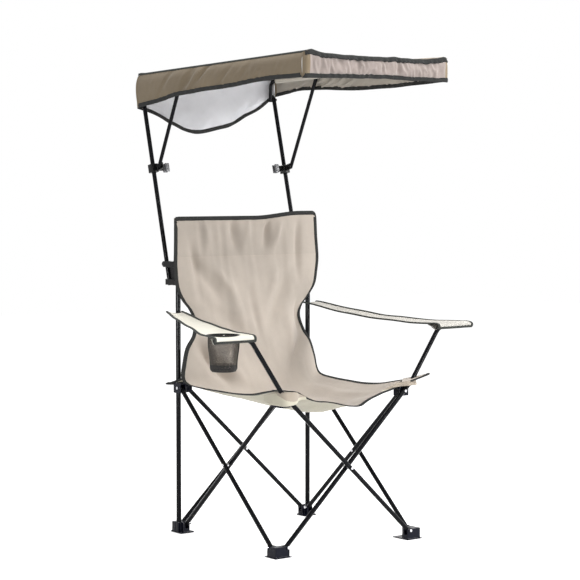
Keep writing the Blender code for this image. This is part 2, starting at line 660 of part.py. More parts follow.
def clamp(name, across, finish):
    """The sliding clamp: a collar on the pole, an ear beside the strut and a clip that opens inwards."""
    centre = clamp_centre(across)
    inward = -across
    collar = POLE_D / 2 + CLAMP_WALL
    height = CLAMP_H / 2
    made = place(name, box((-collar, -collar, -height), (collar, collar, height), BLOCK_EDGE), finish)
    ear_x = inward * (STRUT_D / 2 + GAP)
    far_x = inward * (STRUT_D / 2 + GAP + EAR_THICK)
    reach = EAR_FORWARD + EAR_PAST_PIVOT
    fuse(made, box((ear_x, -reach, -EAR_WIDTH / 2), (far_x, 0, EAR_WIDTH / 2)))
    clip_x = inward * (CLIP_INWARD - CLIP_DEPTH)
    end_x = inward * CLIP_INWARD
    low = (ear_x, -CLIP_FORWARD - CLIP_ARM / 2, -EAR_WIDTH / 2 + GAP)
    high = (clip_x + inward * CLIP_ARM / 2, -CLIP_FORWARD + CLIP_ARM / 2, EAR_WIDTH / 2 - GAP)
    fuse(made, box(low, high))
    clip_half = CLIP_BORE_D / 2 + CLIP_ARM / 2
    low, high = (clip_x, -CLIP_FORWARD - clip_half, -height), (end_x, -CLIP_FORWARD + clip_half, height)
    fuse(made, box(low, high, BLOCK_EDGE))
    bore_x = inward * (CLIP_INWARD - CLIP_BORE_D / 2 + CLIP_ARM / 4)
    low, high = (bore_x, -CLIP_FORWARD, -CLAMP_H), (bore_x, -CLIP_FORWARD, CLAMP_H)
    cut(made, rod(low, high, CLIP_BORE_D / 2, BORE_SIDES))
    drill(made, (0, 0, 0), Z, CLAMP_H, POLE_D)
    tilt = Matrix.Rotation(-POLE_TILT, 4, "X")
    for item in [made] + [step.object for step in made.modifiers]:
        item.matrix_local = Matrix.Translation(centre) @ tilt
    return made


def strut_pivot(across):
    return clamp_centre(across) + square_to_pole() * EAR_FORWARD


def rail_slope():
    run = CANOPY_BACK_REACH + CANOPY_FRONT_REACH
    return Vector((0, -run, CANOPY_FRONT_RISE)).normalized()


def rail_corner(across):
    pivot = pole_point(across, POLE_PIVOT_Z)
    return Vector((across * RAIL_X, pivot.y, pivot.z + RAIL_RISE))


def rail_stud(across):
    return rail_corner(across) + rail_slope() * RAIL_STUD_BACK - Z * RAIL_STUD_DROP


def rail(name, across, finish):
    """A canopy rail: a short drop to the pole's pivot, a bend and the run along the canopy's edge."""
    pivot = pole_point(across, POLE_PIVOT_Z)
    low = Vector((across * RAIL_X, pivot.y, pivot.z - TUBE_PAST_PIVOT))
    corner = rail_corner(across)
    length = (corner.y + CANOPY_FRONT_REACH - RAIL_FRONT_GAP) / -rail_slope().y
    route = rounded([low, corner, corner + rail_slope() * length], (RAIL_BEND_RADIUS,), RAIL_BEND_STEPS)
    made = place(name, hollow_tube(route, X, RAIL_D, RAIL_WALL), finish, (across * RAIL_X, pivot.y, pivot.z))
    stud = rail_stud(across)
    inner = stud - X * across * (RAIL_D / 2 + PIN_HEAD_H)
    outer = Vector((across * (POLE_X + STRUT_D / 2 + PIN_HEAD_H), stud.y, stud.z))
    fuse(made, rod(inner, outer, PIN_D / 2, PIN_SIDES))
    drill(made, (across * RAIL_X, pivot.y, pivot.z), X, RAIL_D, PIN_D)
    return made


def rail_pin(name, across, finish):
    pivot = pole_point(across, POLE_PIVOT_Z)
    start = Vector((across * (POLE_X + POLE_D / 2 + GAP + PIN_HEAD_H), pivot.y, pivot.z))
    length = start.x * across - (RAIL_X - RAIL_D / 2 - PIN_HEAD_H)
    return rivet(name, start, -X * across, length, finish)


def strut(name, across, finish):
    low, high = strut_pivot(across), rail_stud(across)
    high.x = low.x
    along = (high - low).normalized()
    route = [low - along * STRUT_PAST_PIVOT, high + along * STRUT_PAST_PIVOT]
    made = place(name, hollow_tube(route, X, STRUT_D, STRUT_WALL), finish, high)
    drill(made, high, X, STRUT_D, PIN_D)
    return made


# Cloth

def roof_z(x, y):
    """Height of the canopy's outer skin, level across the rails and slack between them."""
    pivot = pole_point(1, POLE_PIVOT_Z)
    rail_top = pivot.z + RAIL_RISE + RAIL_D / 2 + 2 * GAP + CANOPY_CLOTH
    rise = (pivot.y - y) * -rail_slope().z / rail_slope().y
    inner = RAIL_X - RAIL_D
    slack = max(0.0, 1 - (x / inner) ** 2)
    return rail_top + rise - CANOPY_SAG * slack


def canopy(name, finish):
    """The shade: a slack roof, straight side and front walls, and a rear wall with a curved hem."""
    inner = RAIL_X - RAIL_D
    length = CANOPY_BACK_REACH + CANOPY_FRONT_REACH
    xs = [inner * (2 * i / CANOPY_COLUMNS - 1) for i in range(CANOPY_COLUMNS + 1)]
    xs = [-CANOPY_HALF_WIDTH] + xs + [CANOPY_HALF_WIDTH]
    ys = [CANOPY_BACK_REACH - length * i / CANOPY_ROWS for i in range(CANOPY_ROWS + 1)]
    mesh = bmesh.new()
    roof = [[mesh.verts.new((x, y, roof_z(x, y))) for x in xs] for y in ys]
    for one, two in zip(roof, roof[1:]):
        for i in range(len(xs) - 1):
            mesh.faces.new((one[i], one[i + 1], two[i + 1], two[i]))
    last_x, last_y = len(xs) - 1, len(ys) - 1
    rim = [(0, i) for i in range(last_x)] + [(j, last_x) for j in range(last_y)]
    rim += [(last_y, i) for i in range(last_x, 0, -1)] + [(j, 0) for j in range(last_y, 0, -1)]
    walls = [[roof[j][i] for j, i in rim]]
    for share in WALL_ROW_SHARES:
        ring = []
        for j, i in rim:
            along = j / last_y
            drop = SIDE_DROP_BACK + (SIDE_DROP_FRONT - SIDE_DROP_BACK) * along
            if j == 0:
                drop += REAR_HEM_SAG * (1 - (xs[i] / CANOPY_HALF_WIDTH) ** 2)
            edge_z = roof_z(CANOPY_HALF_WIDTH, ys[j])
            top_z = roof[j][i].co.z
            ring.append(mesh.verts.new((xs[i], ys[j], top_z + (edge_z - drop - top_z) * share)))
        walls.append(ring)
    for one, two in zip(walls, walls[1:]):
        for i in range(len(rim)):
            k = (i + 1) % len(rim)
            mesh.faces.new((one[i], one[k], two[k], two[i]))
    pivot = pole_point(-1, POLE_PIVOT_Z)
    made = place(name, mesh, finish, (0, pivot.y, pivot.z))
    shell = made.modifiers.new("cloth", "SOLIDIFY")
    shell.thickness = CANOPY_CLOTH
    shell.offset = -1
    shell.use_even_offset = True
    return made


def sling_edge(across_share, edge, middle, share_power):
    """A point across the sling: the middle at zero and an edge at one."""
    return middle + (edge - middle) * abs(across_share) ** share_power


def sling_row(width, edge_y, mid_y, edge_z, mid_z, pleat):
    row = []
    for i in range(SLING_COLUMNS + 1):
        share = 2 * i / SLING_COLUMNS - 1
        fold = pleat * math.cos(PLEATS * math.pi * share) * (1 - share ** 2)
        y = sling_edge(share, edge_y, mid_y, 2) - fold
        row.append(Vector((share * width, y, sling_edge(share, edge_z, mid_z, EDGE_POWER))))
    return row


def back_rows():
    """The sling's back, which hangs in front of the uprights and narrows at the armrests."""
    face_y = UPRIGHT_Y - UPRIGHT_D / 2 - GAP - SLING_T / 2
    tall = UPRIGHT_TOP_Z - HUB_PIVOT_Z
    rows = []
    for edge_up, mid_up, wide, edge_lean, mid_lean in BACK_ROW_SHARES:
        depth = (face_y - BACK_LEAN * edge_lean, face_y - BACK_LEAN * mid_lean)
        height = (HUB_PIVOT_Z + tall * edge_up, HUB_PIVOT_Z + tall * mid_up)
        rows.append(sling_row(UPRIGHT_X * wide, *depth, *height, PLEAT_DEPTH * mid_lean))
    return rows


def seat_rows():
    rows = []
    for edge_y, mid_y, wide, lift, sag in SEAT_ROW_SHARES:
        height = (HUB_PIVOT_Z + SEAT_LIFT * lift, HUB_PIVOT_Z - SEAT_SAG * sag)
        rows.append(sling_row(UPRIGHT_X * wide, UPRIGHT_Y * edge_y, UPRIGHT_Y * mid_y, *height, 0.0))
    return rows


def sling_piece(faces, first, last):
    """The sling between two of its rows, standing back a seam's gap from the piece before it."""
    pieces = []
    for face in faces:
        rows = face[first:last + 1]
        if first:
            rows[0] = [a + (b - a).normalized() * SEAM_GAP for a, b in zip(rows[0], rows[1])]
        pieces.append(rows)
    return sheet(pieces)


def armrest_z(behind_front):
    """Height of an armrest's cloth at a distance behind its front lip."""
    base = ARM_TUBE_Z + TUBE_R + GAP + ARM_CLOTH / 2
    run = UPRIGHT_Y - FRONT_UP_Y
    share = max(0.0, (behind_front - ARM_LEVEL_RUN) / (run - ARM_LEVEL_RUN))
    return base + (ARM_REAR_Z - base) * share - ARM_SAG * share * (1 - min(1.0, share))


def armrest(name, across, tube_y, finish):
    front_y = tube_y - ARM_FRONT_LIP
    rear_y = UPRIGHT_Y - UPRIGHT_D / 2 - GAP
    rows = []
    for i in range(ARM_ROWS + 1):
        share = i / ARM_ROWS
        behind = (rear_y - front_y) * share
        inner_x = ARM_INNER_X + (ARM_REAR_INNER_X - ARM_INNER_X) * share
        outer_x = ARM_OUTER_X + (ARM_REAR_OUTER_X - ARM_OUTER_X) * share
        xs = [inner_x + (outer_x - inner_x) * k / ARM_COLUMNS for k in range(ARM_COLUMNS + 1)]
        rows.append([Vector((across * x, front_y + behind, armrest_z(behind))) for x in xs])
    return place(name, sheet(skins(rows, ARM_CLOTH)), finish, (across * UPRIGHT_X, UPRIGHT_Y, ARM_REAR_Z))


def cup_place():
    y = FRONT_DOWN_Y + CUP_BEHIND_TUBE
    return Vector((-CUP_X, y, armrest_z(CUP_BEHIND_TUBE + ARM_FRONT_LIP) - ARM_CLOTH / 2 - GAP))


def cup_holder(name, finish):
    """The mesh pocket under the right armrest, open at the top."""
    mouth, floor = CUP_MOUTH_D / 2, CUP_FLOOR_D / 2
    mesh = turned([(0, mouth), (CUP_DEPTH, floor)], cup_place(), -Z, ROUND_SIDES)
    made = place(name, mesh, finish, cup_place())
    hollow = [(-CUT_OVERRUN, mouth - CUP_WALL), (CUP_DEPTH - CUP_WALL, floor - CUP_WALL)]
    cut(made, turned(hollow, cup_place(), -Z, ROUND_SIDES))
    return made


# Materials, from the photograph
clear_scene()
CHAIR = bpy.data.objects.new("chair", None)
CHAIR.location = (0, FRAME_MID_Y, 0)
bpy.context.scene.collection.objects.link(CHAIR)

BLACK_STEEL = material("black_steel", (0.012, 0.012, 0.014), 0.35)
BLACK_PLASTIC = material("black_plastic", (0.010, 0.011, 0.020), 0.28)
RIVET_STEEL = material("rivet_steel", (0.55, 0.55, 0.56), 0.30, 1.0)
SLING_CLOTH = material("sling_cloth", (0.46, 0.40, 0.33), 0.85)
ARM_CLOTH_PALE = material("armrest_cloth", (0.72, 0.68, 0.58), 0.85)
CANOPY_TOP = material("canopy_cloth", (0.30, 0.25, 0.19), 0.80)
MESH_CLOTH = material("cup_mesh", (0.02, 0.02, 0.02), 0.90)

# Legs on both sides. The right side carries one cross tube of each pair, the left the other.
for side, across in (("right", -1), ("left", 1)):
    rear_foot_y, rear_hub_y = (REAR_UP_Y, REAR_DOWN_Y) if across < 0 else (REAR_DOWN_Y, REAR_UP_Y)
    front_foot_y, arm_y = (FRONT_UP_Y, FRONT_DOWN_Y) if across < 0 else (FRONT_DOWN_Y, FRONT_UP_Y)
    made = foot(f"foot_rear_{side}", across, 1, rear_foot_y, SIDE_UP_X, BLACK_PLASTIC)
    cross_pin(f"foot_rear_{side}_cross_pin", made, across, rear_foot_y, FOOT_PIVOT_Z, 1, RIVET_STEEL)
    side_pin(f"foot_rear_{side}_side_pin", made, across, 1, SIDE_UP_X, FOOT_PIVOT_Z, -1, RIVET_STEEL)
    made = foot(f"foot_front_{side}", across, -1, front_foot_y, SIDE_DOWN_X, BLACK_PLASTIC)
    cross_pin(f"foot_front_{side}_cross_pin", made, across, front_foot_y, FOOT_PIVOT_Z, -1, RIVET_STEEL)
    side_pin(f"foot_front_{side}_side_pin", made, across, -1, SIDE_DOWN_X, FOOT_PIVOT_Z, 1, RIVET_STEEL)
    made = rear_hub(f"hub_rear_{side}", across, rear_hub_y, BLACK_PLASTIC)
    cross_pin(f"hub_rear_{side}_cross_pin", made, across, rear_hub_y, HUB_PIVOT_Z, 1, RIVET_STEEL)
    side_pin(f"hub_rear_{side}_side_pin", made, across, 1, SIDE_DOWN_X, HUB_PIVOT_Z, 1, RIVET_STEEL)
    made = front_hub(f"hub_front_{side}", across, arm_y, BLACK_PLASTIC)
    side_pin(f"hub_front_{side}_side_pin", made, across, -1, SIDE_UP_X, HUB_PIVOT_Z, 1, RIVET_STEEL)
    arm_pin(f"hub_front_{side}_arm_pin", made, across, arm_y, RIVET_STEEL)
    upright(f"upright_{side}", across, BLACK_STEEL)
    side_tube(f"side_tube_{side}_rising", across, SIDE_UP_X, True, BLACK_STEEL)
    side_tube(f"side_tube_{side}_falling", across, SIDE_DOWN_X, False, BLACK_STEEL)
    crossing = (across * (SIDE_UP_X + SIDE_DOWN_X) / 2, 0, CROSSING_Z)
    crossing_rivet(f"crossing_rivet_{side}", crossing, X, RIVET_STEEL)

cross_tube("rear_tube_rising", REAR_UP_Y, True, BLACK_STEEL)
cross_tube("rear_tube_falling", REAR_DOWN_Y, False, BLACK_STEEL)
crossing_rivet("crossing_rivet_rear", (0, (REAR_UP_Y + REAR_DOWN_Y) / 2, CROSSING_Z), Y, RIVET_STEEL)
front_tube("arm_tube_left", 1, FRONT_UP_Y, BLACK_STEEL)
front_tube("arm_tube_right", -1, FRONT_DOWN_Y, BLACK_STEEL)
crossing_rivet("crossing_rivet_front", (0, (FRONT_UP_Y + FRONT_DOWN_Y) / 2, CROSSING_Z), Y, RIVET_STEEL)

# Canopy frame
for side, across in (("right", -1), ("left", 1)):
    bracket(f"canopy_bracket_{side}", across, BLACK_PLASTIC)
    thumb_screw(f"thumb_screw_{side}", across, BLACK_PLASTIC)
    pole(f"canopy_pole_{side}", across, BLACK_STEEL)
    clamp(f"canopy_clamp_{side}", across, BLACK_PLASTIC)
    strut(f"canopy_strut_{side}", across, BLACK_STEEL)
    rail(f"canopy_rail_{side}", across, BLACK_STEEL)
    rail_pin(f"canopy_rail_pin_{side}", across, RIVET_STEEL)
canopy("canopy_cloth", CANOPY_TOP)

# Sling, armrests and cup holder
back = back_rows()
sling = skins(back + seat_rows()[1:], SLING_T)
seat_start, seat_end = len(back) - 1, len(sling[0]) - 1
seat_fold = seat_start + SEAT_SPLIT_ROW
place("back_sling", sling_piece(sling, 0, seat_start), SLING_CLOTH, (0, UPRIGHT_Y, HUB_PIVOT_Z))
place("seat_sling_rear", sling_piece(sling, seat_start, seat_fold), SLING_CLOTH, (0, PIVOT_Y, HUB_PIVOT_Z))
place("seat_sling_front", sling_piece(sling, seat_fold, seat_end), SLING_CLOTH, (0, -PIVOT_Y, HUB_PIVOT_Z))
right_armrest = armrest("armrest_right", -1, FRONT_DOWN_Y, ARM_CLOTH_PALE)
cup_low, cup_high = cup_place() - Z * CUP_WALL, cup_place() + Z * CUP_MOUTH_D
cut(right_armrest, rod(cup_low, cup_high, CUP_MOUTH_D / 2 - CUP_WALL, ROUND_SIDES))
armrest("armrest_left", 1, FRONT_UP_Y, ARM_CLOTH_PALE)
cup_holder("cup_holder", MESH_CLOTH)
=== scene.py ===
"""Looks of the canopy folding chair: its cloth, plastics and steel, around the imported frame.

Metres, +Z up. The chair faces -Y, and right is the sitter's right, so -X. Shapes are written
about the middle of the leg frame, which the frame's joints give as CENTRE_Y.
"""
import json
import math

import bmesh
import bpy
import numpy as np
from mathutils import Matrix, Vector, noise

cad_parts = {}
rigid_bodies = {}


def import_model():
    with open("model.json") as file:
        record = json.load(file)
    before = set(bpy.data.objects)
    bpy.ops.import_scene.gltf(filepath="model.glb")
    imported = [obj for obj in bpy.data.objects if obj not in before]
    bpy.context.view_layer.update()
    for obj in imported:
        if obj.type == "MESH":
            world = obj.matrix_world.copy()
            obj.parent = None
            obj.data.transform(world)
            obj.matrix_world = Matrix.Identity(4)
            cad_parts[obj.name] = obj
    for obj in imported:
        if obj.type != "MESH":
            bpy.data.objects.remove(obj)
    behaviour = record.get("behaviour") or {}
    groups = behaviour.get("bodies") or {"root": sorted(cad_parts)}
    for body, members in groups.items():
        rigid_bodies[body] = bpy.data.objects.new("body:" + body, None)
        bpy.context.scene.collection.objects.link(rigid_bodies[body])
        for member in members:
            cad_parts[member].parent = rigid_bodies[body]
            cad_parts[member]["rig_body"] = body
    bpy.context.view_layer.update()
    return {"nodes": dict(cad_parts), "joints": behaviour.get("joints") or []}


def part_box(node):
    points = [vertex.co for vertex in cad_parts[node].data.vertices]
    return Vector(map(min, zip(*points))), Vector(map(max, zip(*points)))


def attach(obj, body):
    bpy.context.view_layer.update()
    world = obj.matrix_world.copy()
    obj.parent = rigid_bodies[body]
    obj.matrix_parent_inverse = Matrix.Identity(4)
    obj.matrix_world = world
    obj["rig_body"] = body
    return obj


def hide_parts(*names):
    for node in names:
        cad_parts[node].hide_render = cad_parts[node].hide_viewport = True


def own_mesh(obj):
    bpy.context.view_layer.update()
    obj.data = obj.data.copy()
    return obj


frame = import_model()
JOINTS = {joint["name"]: joint for joint in frame["joints"]}
CENTRE_Y = JOINTS["side_right_cross"]["pos_m"][1]

# Places and sizes shared with the frame
SIDES = (("right", -1), ("left", 1))
UPRIGHT_X, UPRIGHT_Y, UPRIGHT_R = 0.258, 0.252, 0.008
UPRIGHT_TOP_Z, HUB_Z = 0.988, 0.457
TUBE_R = 0.007
GAP = 0.0006
FRONT_TUBE_Y = {"right": -0.2765, "left": -0.2565}
FRONT_TUBE_Y_FOOT = {"right": -0.2565, "left": -0.2765}
SIDE_TUBE_X = {"right": 0.264, "left": 0.244}
ARM_TUBE_Z, ARM_REAR_Z = 0.648, 0.700
RAIL_X, RAIL_R = 0.2485, 0.006
PIVOT_Y, PIVOT_Z, RAIL_RISE = 0.4385, 1.372, 0.060

# Axis and anchor of the frame's fold
FOLD_AXIS, FOLD_ANCHOR = (1, 0, 0), (-UPRIGHT_X, CENTRE_Y, 0)

# Frame nodes: which are tubes, where a clamp's grey clip begins, how copies are welded and
# softened, and how feet are drawn in
TUBES = ("side_tube", "rear_tube", "arm_tube", "upright", "canopy_pole", "canopy_strut", "canopy_rail")
CLIP_FROM_X = 0.2625 - 0.029
WELD_DISTANCE = 0.00002
VOXEL, SMOOTH_PASSES, KEPT_FACES = 0.0010, 5, 0.30
FOOT_FLAT_SHARE = {"front": 0.85, "rear": 0.82}
FOOT_TALL_SHARE = 0.88
FLANGE_OUT, FLANGE_THICK = 0.0045, 0.0028

# Tapes and stitches
TAPE_WIDTH, TAPE_THICK = 0.0135, 0.0036
TAPE_SIDES, TAPE_ROUNDNESS = 12, 0.7
STITCH_PITCH, STITCH_LENGTH, STITCH_R = 0.0065, 0.0042, 0.00045

# Sling
BACK_LEAN, SEAT_LIFT, SEAT_SAG = 0.100, 0.050, 0.062
SLING_CLOTH = 0.0012
SLING_COLUMNS, SLING_STEPS = 150, 9
COLUMN_CROWDING = 0.46
EDGE_POWER = 1.6
HEADREST_SEAM_Z, SEAM_FROM_EDGE = 0.862, 7
TOP_CORNER_RADIUS, TOP_CORNER_REACH = 0.017, 0.034
TOP_LIFT_LEFT = 0.014
FRONT_BLEND_ROWS = 3.2
# How far the sitter's left edge of the back stands out past the right one, by height
LEFT_EXTRA = (
    (0.70, 0.0), (0.735, 0.003), (0.765, 0.008), (0.80, 0.010), (0.86, 0.015), (0.92, 0.011), (1.00, 0.007),
)
LEFT_TOP_EXTRA = LEFT_EXTRA[-1][1]
# Height of the seat's front edge, by distance to the sitter's left
FRONT_EDGE = (
    (-0.264, 0.490), (-0.241, 0.488), (-0.182, 0.482), (-0.128, 0.455), (-0.060, 0.441), (0.004, 0.431),
    (0.065, 0.423), (0.114, 0.437), (0.187, 0.462), (0.241, 0.484), (0.264, 0.490),
)
# Rows of the sling, as in the frame: shares of the height from hub to upright top at the edge
# and the middle, of the upright's half distance, and of the back's lean at edge and middle
BACK_ROW_SHARES = (
    (1.000, 1.000, 1.078, 0.00, 0.03),
    (0.891, 0.881, 1.078, 0.00, 0.06),
    (0.797, 0.778, 1.081, 0.00, 0.10),
    (0.702, 0.674, 1.085, 0.01, 0.16),
    (0.589, 0.552, 1.058, 0.02, 0.24),
    (0.514, 0.458, 0.977, 0.02, 0.32),
    (0.458, 0.392, 0.878, 0.02, 0.38),
    (0.392, 0.307, 0.822, 0.07, 0.48),
    (0.307, 0.203, 0.860, 0.17, 0.62),
    (0.232, 0.109, 0.963, 0.18, 0.80),
    (0.137, 0.034, 1.023, 0.22, 1.02),
    (0.062, -0.032, 1.050, 0.26, 1.27),
)
# Shares of the upright's depth at edge and middle, of its half distance, of the seat's lift
# at the edge and of its sag in the middle
SEAT_ROW_SHARES = (
    (0.754, 0.337, 1.039, 0.30, 0.629),
    (0.476, 0.159, 1.016, 0.18, 0.871),
    (0.159, -0.040, 0.992, 0.14, 0.968),
    (-0.159, -0.238, 0.977, 0.12, 1.000),
    (-0.476, -0.476, 0.977, 0.22, 0.952),
    (-0.754, -0.714, 1.000, 0.40, 0.839),
    (-0.921, -0.881, 1.016, 0.56, 0.629),
    (-0.974, -0.974, 1.020, 1.04, 0.468),
)
SEAT_SPLIT_ROW = 3
BACK_END = (len(BACK_ROW_SHARES) - 1) * SLING_STEPS
SEAT_FOLD = BACK_END + SEAT_SPLIT_ROW * SLING_STEPS
# Folds of the back: from one point (x, z) to another, each with its half width and its depth
BACK_FOLDS = (
    ((-0.262, 0.985), (-0.185, 0.800), 0.016, 0.0050),
    ((-0.215, 0.930), (-0.190, 0.700), 0.018, 0.0034),
    ((-0.168, 1.010), (-0.150, 0.865), 0.014, -0.0026),
    ((-0.060, 1.020), (-0.040, 0.855), 0.018, 0.0050),
    ((0.010, 1.010), (-0.010, 0.870), 0.014, -0.0024),
    ((0.098, 1.020), (0.070, 0.870), 0.012, 0.0060),
    ((0.150, 1.000), (0.090, 0.860), 0.012, -0.0034),
    ((0.214, 1.020), (0.206, 0.760), 0.014, 0.0064),
    ((-0.225, 0.870), (-0.080, 0.690), 0.022, 0.0036),
    ((-0.150, 0.850), (-0.060, 0.730), 0.014, -0.0024),
    ((-0.200, 0.760), (0.020, 0.540), 0.030, 0.0036),
    ((0.205, 0.870), (0.020, 0.560), 0.024, 0.0042),
    ((0.120, 0.840), (0.060, 0.700), 0.014, -0.0024),
    ((0.150, 0.720), (0.140, 0.500), 0.018, -0.0030),
    ((-0.100, 0.860), (-0.030, 0.600), 0.018, -0.0028),
    ((-0.010, 0.780), (0.030, 0.560), 0.014, 0.0024),
    ((-0.240, 0.640), (-0.110, 0.440), 0.020, 0.0090),
    ((-0.180, 0.600), (-0.060, 0.450), 0.016, -0.0026),
    ((0.230, 0.640), (0.090, 0.460), 0.018, 0.0045),
    ((0.205, 0.735), (0.190, 0.600), 0.014, 0.0050),
)
FOLD_GAIN, FOLD_FADE = 3.5, 1.3
# Where folds and ripples die out: at the edge tapes, beside the uprights and at the top edge
EDGE_HOLD = 8
UPRIGHT_HOLD_FAR, UPRIGHT_HOLD_NEAR = 0.075, 0.012
UPRIGHT_HOLD_LOW_Z, UPRIGHT_HOLD_HIGH_Z = 0.52, 0.76
TOP_EDGE_FADE, TOP_EDGE_PAST = 0.045, 0.012
BROAD_RIPPLE, FINE_RIPPLE, SEAT_RIPPLE = 0.0046, 0.0022, 0.0024
STREAK, HEADREST_STREAK = 0.0014, 0.0030

# Sleeves over the uprights' tops
SLEEVE_LOW_Z, SLEEVE_BELOW_TOP = 0.835, 0.003
SLEEVE_LOOSE, SLEEVE_FLARE, SLEEVE_FLARE_FROM = 0.0014, 0.010, 0.82
SLEEVE_HEM = (0.006, 0.0024)

# Corners of the seat
TAB_ROWS, TAB_COLUMNS = 9, 8
TAB_TIP_SHARE, TAB_TIP_RISE = 0.16, 0.006
POCKET_AHEAD = 0.0140
POCKET_DEPTH = {"right": 0.041, "left": 0.015}
POCKET_ROWS, POCKET_COLUMNS = 31, 56
POCKET_MIDDLE = (0.232, -0.245)
POCKET_TUCK, POCKET_TUCK_FROM = 0.006, 0.75
POCKET_CREASE, POCKET_SWELL = 0.0036, 0.0020
# Share of a pocket's height, below its top edge, that takes the sling's outer tan darkened as painted
# shade, and the share of its path over which that goes on. A value above one takes in all that there is.
POCKET_SHADE_SHARE = {"right": 0.46, "left": 3.0}
POCKET_SHADE_END = {"right": 0.70, "left": 1.4}

# Armrests
ARM_INNER_X, ARM_OUTER_X = 0.362, 0.508
ARM_REAR_INNER_X, ARM_REAR_OUTER_X = 0.238, 0.300
ARM_LIP, ARM_LEVEL, ARM_SAG, ARM_CLOTH = 0.012, 0.115, 0.030, 0.0014
ARM_RUN = UPRIGHT_Y - FRONT_TUBE_Y["left"]
ARM_PAST_UPRIGHT = 0.004
ARM_REAR_DROP = {"right": 0.010, "left": -0.002}
ARM_DROOP, ARM_WAVE, ARM_CURL = 0.0050, 0.0012, 0.0040
ARM_TAPE = (TAPE_WIDTH * 0.70, 0.0054)
# The sleeve at an armrest's front, as places behind and above the middle of the tube inside it
ARM_SLEEVE_PROFILE = (
    (0.0280, 0.0050), (0.0170, 0.0010), (0.0090, -0.0058), (0.0000, -0.0090), (-0.0078, -0.0068),
    (-0.0116, -0.0005), (-0.0100, 0.0055), (-0.0040, 0.0086), (0.0070, 0.0096),
)
ARM_SLEEVE_STEPS = 3
ARM_SLEEVE_EDGE = 4 * ARM_SLEEVE_STEPS
ARM_COLUMNS, ARM_STEPS = 30, 60

# Cup holder
CUP_X, CUP_BEHIND, CUP_MOUTH_R, CUP_FLOOR_R, CUP_DEPTH = 0.428, 0.055, 0.044, 0.039, 0.100
CUP_CENTRE = (-CUP_X, FRONT_TUBE_Y["right"] + CUP_BEHIND)
CUP_EDGE = 0.001
CUP_ROWS, CUP_MESHES, CUP_BAND_MESHES = 30, 72, 96
CUP_TUCK, CUP_TUCK_FROM, CUP_BAND_FROM = 0.006, 0.88, 0.80
CUP_BELOW_REST = 0.002
NET_STRAND, BAND_STRAND = 0.0012, 0.0017
CUP_SEAM_TURNS, CUP_SEAM_R = (2.35, 5.50), 0.0016
HOLE_SNAP = 0.0048

# Canopy
ROOF_HALF, ROOF_BACK, ROOF_FRONT = 0.2755, 0.4503, -0.4020
ROOF_RISE, ROOF_SAG, ROOF_CLOTH = 0.026, 0.012, 0.0012
ROOF_SHOULDER, SHOULDER_SHARE = 0.007, 0.35
ROOF_ABOVE_RAIL, ROOF_EDGE_DROP, ROOF_RIPPLE = 0.0033, 0.006, 0.0020
FRONT_LEVEL_REACH, FRONT_LEVEL_SAG = 0.030, 0.9
# The valance's rounded corner, and the width at each of its ends that takes the khaki darkened as painted
# shade
FRONT_CORNER, SHADED_CORNER = 0.012, 0.016
HEM_WIDTH, TOP_TAPE_WIDTH, FRONT_TAPE_WIDTH, ROOF_TAPE_THICK = 0.0135, 0.0070, 0.0165, 0.0042
TOP_TAPE_THICK = ROOF_TAPE_THICK * 1.1
CORNER_BAND = (0.010, 0.0044)
ROOF_BODY = "canopy_right"
# How far each wall hangs below the roof's edge: along the side walls by the share of the way
# from rear to front, and along the front and rear walls by the share of the roof's half width
WALL_DROPS = {
    "right": (
        (0, 0.105), (0.12, 0.098), (0.25, 0.084), (0.41, 0.079), (0.60, 0.077), (0.77, 0.070), (1, 0.073),
    ),
    "left": (
        (0, 0.055), (0.08, 0.049), (0.19, 0.043), (0.40, 0.056), (0.57, 0.065), (0.80, 0.067), (1, 0.067),
    ),
    "front": ((-1, 0.073), (-0.5, 0.069), (0, 0.066), (0.5, 0.067), (1, 0.067)),
    "rear": (
        (-1, 0.105), (-0.77, 0.124), (-0.55, 0.152), (-0.29, 0.177), (-0.12, 0.180), (0.12, 0.166),
        (0.34, 0.151), (0.54, 0.122), (0.74, 0.096), (0.95, 0.060), (1, 0.055),
    ),
}

# Camera, backdrop and light
CAMERA_PLACE = (-3.485, -4.423 + CENTRE_Y, 1.082)
CAMERA_TURN = (86.756, 0.0, -38.13)
CAMERA_LENS = 113.27
BACKDROP_RAYS = ("Is Camera Ray", "Is Glossy Ray", "Is Transmission Ray")
WORLD_FILL, FLOOR_GLOW, FLOOR_REACH = 0.53, 0.60, 9.0
SOFTBOX_TALL = 1.9


def placed(name, data):
    """A new object in the scene, with the given data."""
    made = bpy.data.objects.new(name, data)
    bpy.context.scene.collection.objects.link(made)
    return made


def mesh_object(name, points, faces, finish):
    """An object from points about the middle of the leg frame."""
    data = bpy.data.meshes.new(name)
    data.from_pydata([(x, y + CENTRE_Y, z) for x, y, z in points], [], faces)
    data.materials.append(finish)
    data.shade_smooth()
    return placed(name, data)


def carry(piece, body, folds=True):
    """Let a piece ride on a body, first giving it a mesh of its own unless folds is false."""
    if folds:
        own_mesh(piece)
        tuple(FOLD_AXIS)
        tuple(FOLD_ANCHOR)
    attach(piece, body)
    return piece


def through(points, count):
    """Points along a smooth curve through the given ones, with even steps between them."""
    given = np.array(points, float)
    place = np.linspace(0, len(given) - 1, count)
    first = np.minimum(place.astype(int), len(given) - 2)
    t = (place - first).reshape((-1,) + (1,) * (given.ndim - 1))
    padded = np.concatenate([2 * given[:1] - given[1:2], given, 2 * given[-1:] - given[-2:-1]])
    a, b, c, d = padded[first], padded[first + 1], padded[first + 2], padded[first + 3]
    return (2 * b + (c - a) * t + (2 * a - 5 * b + 4 * c - d) * t**2 + (3 * b - a - 3 * c + d) * t**3) / 2


def smooth_table(pairs):
    """A function that reads a smooth curve through pairs of place and value."""
    dense = through(pairs, 12 * len(pairs))
    return lambda place: float(np.interp(place, dense[:, 0], dense[:, 1]))


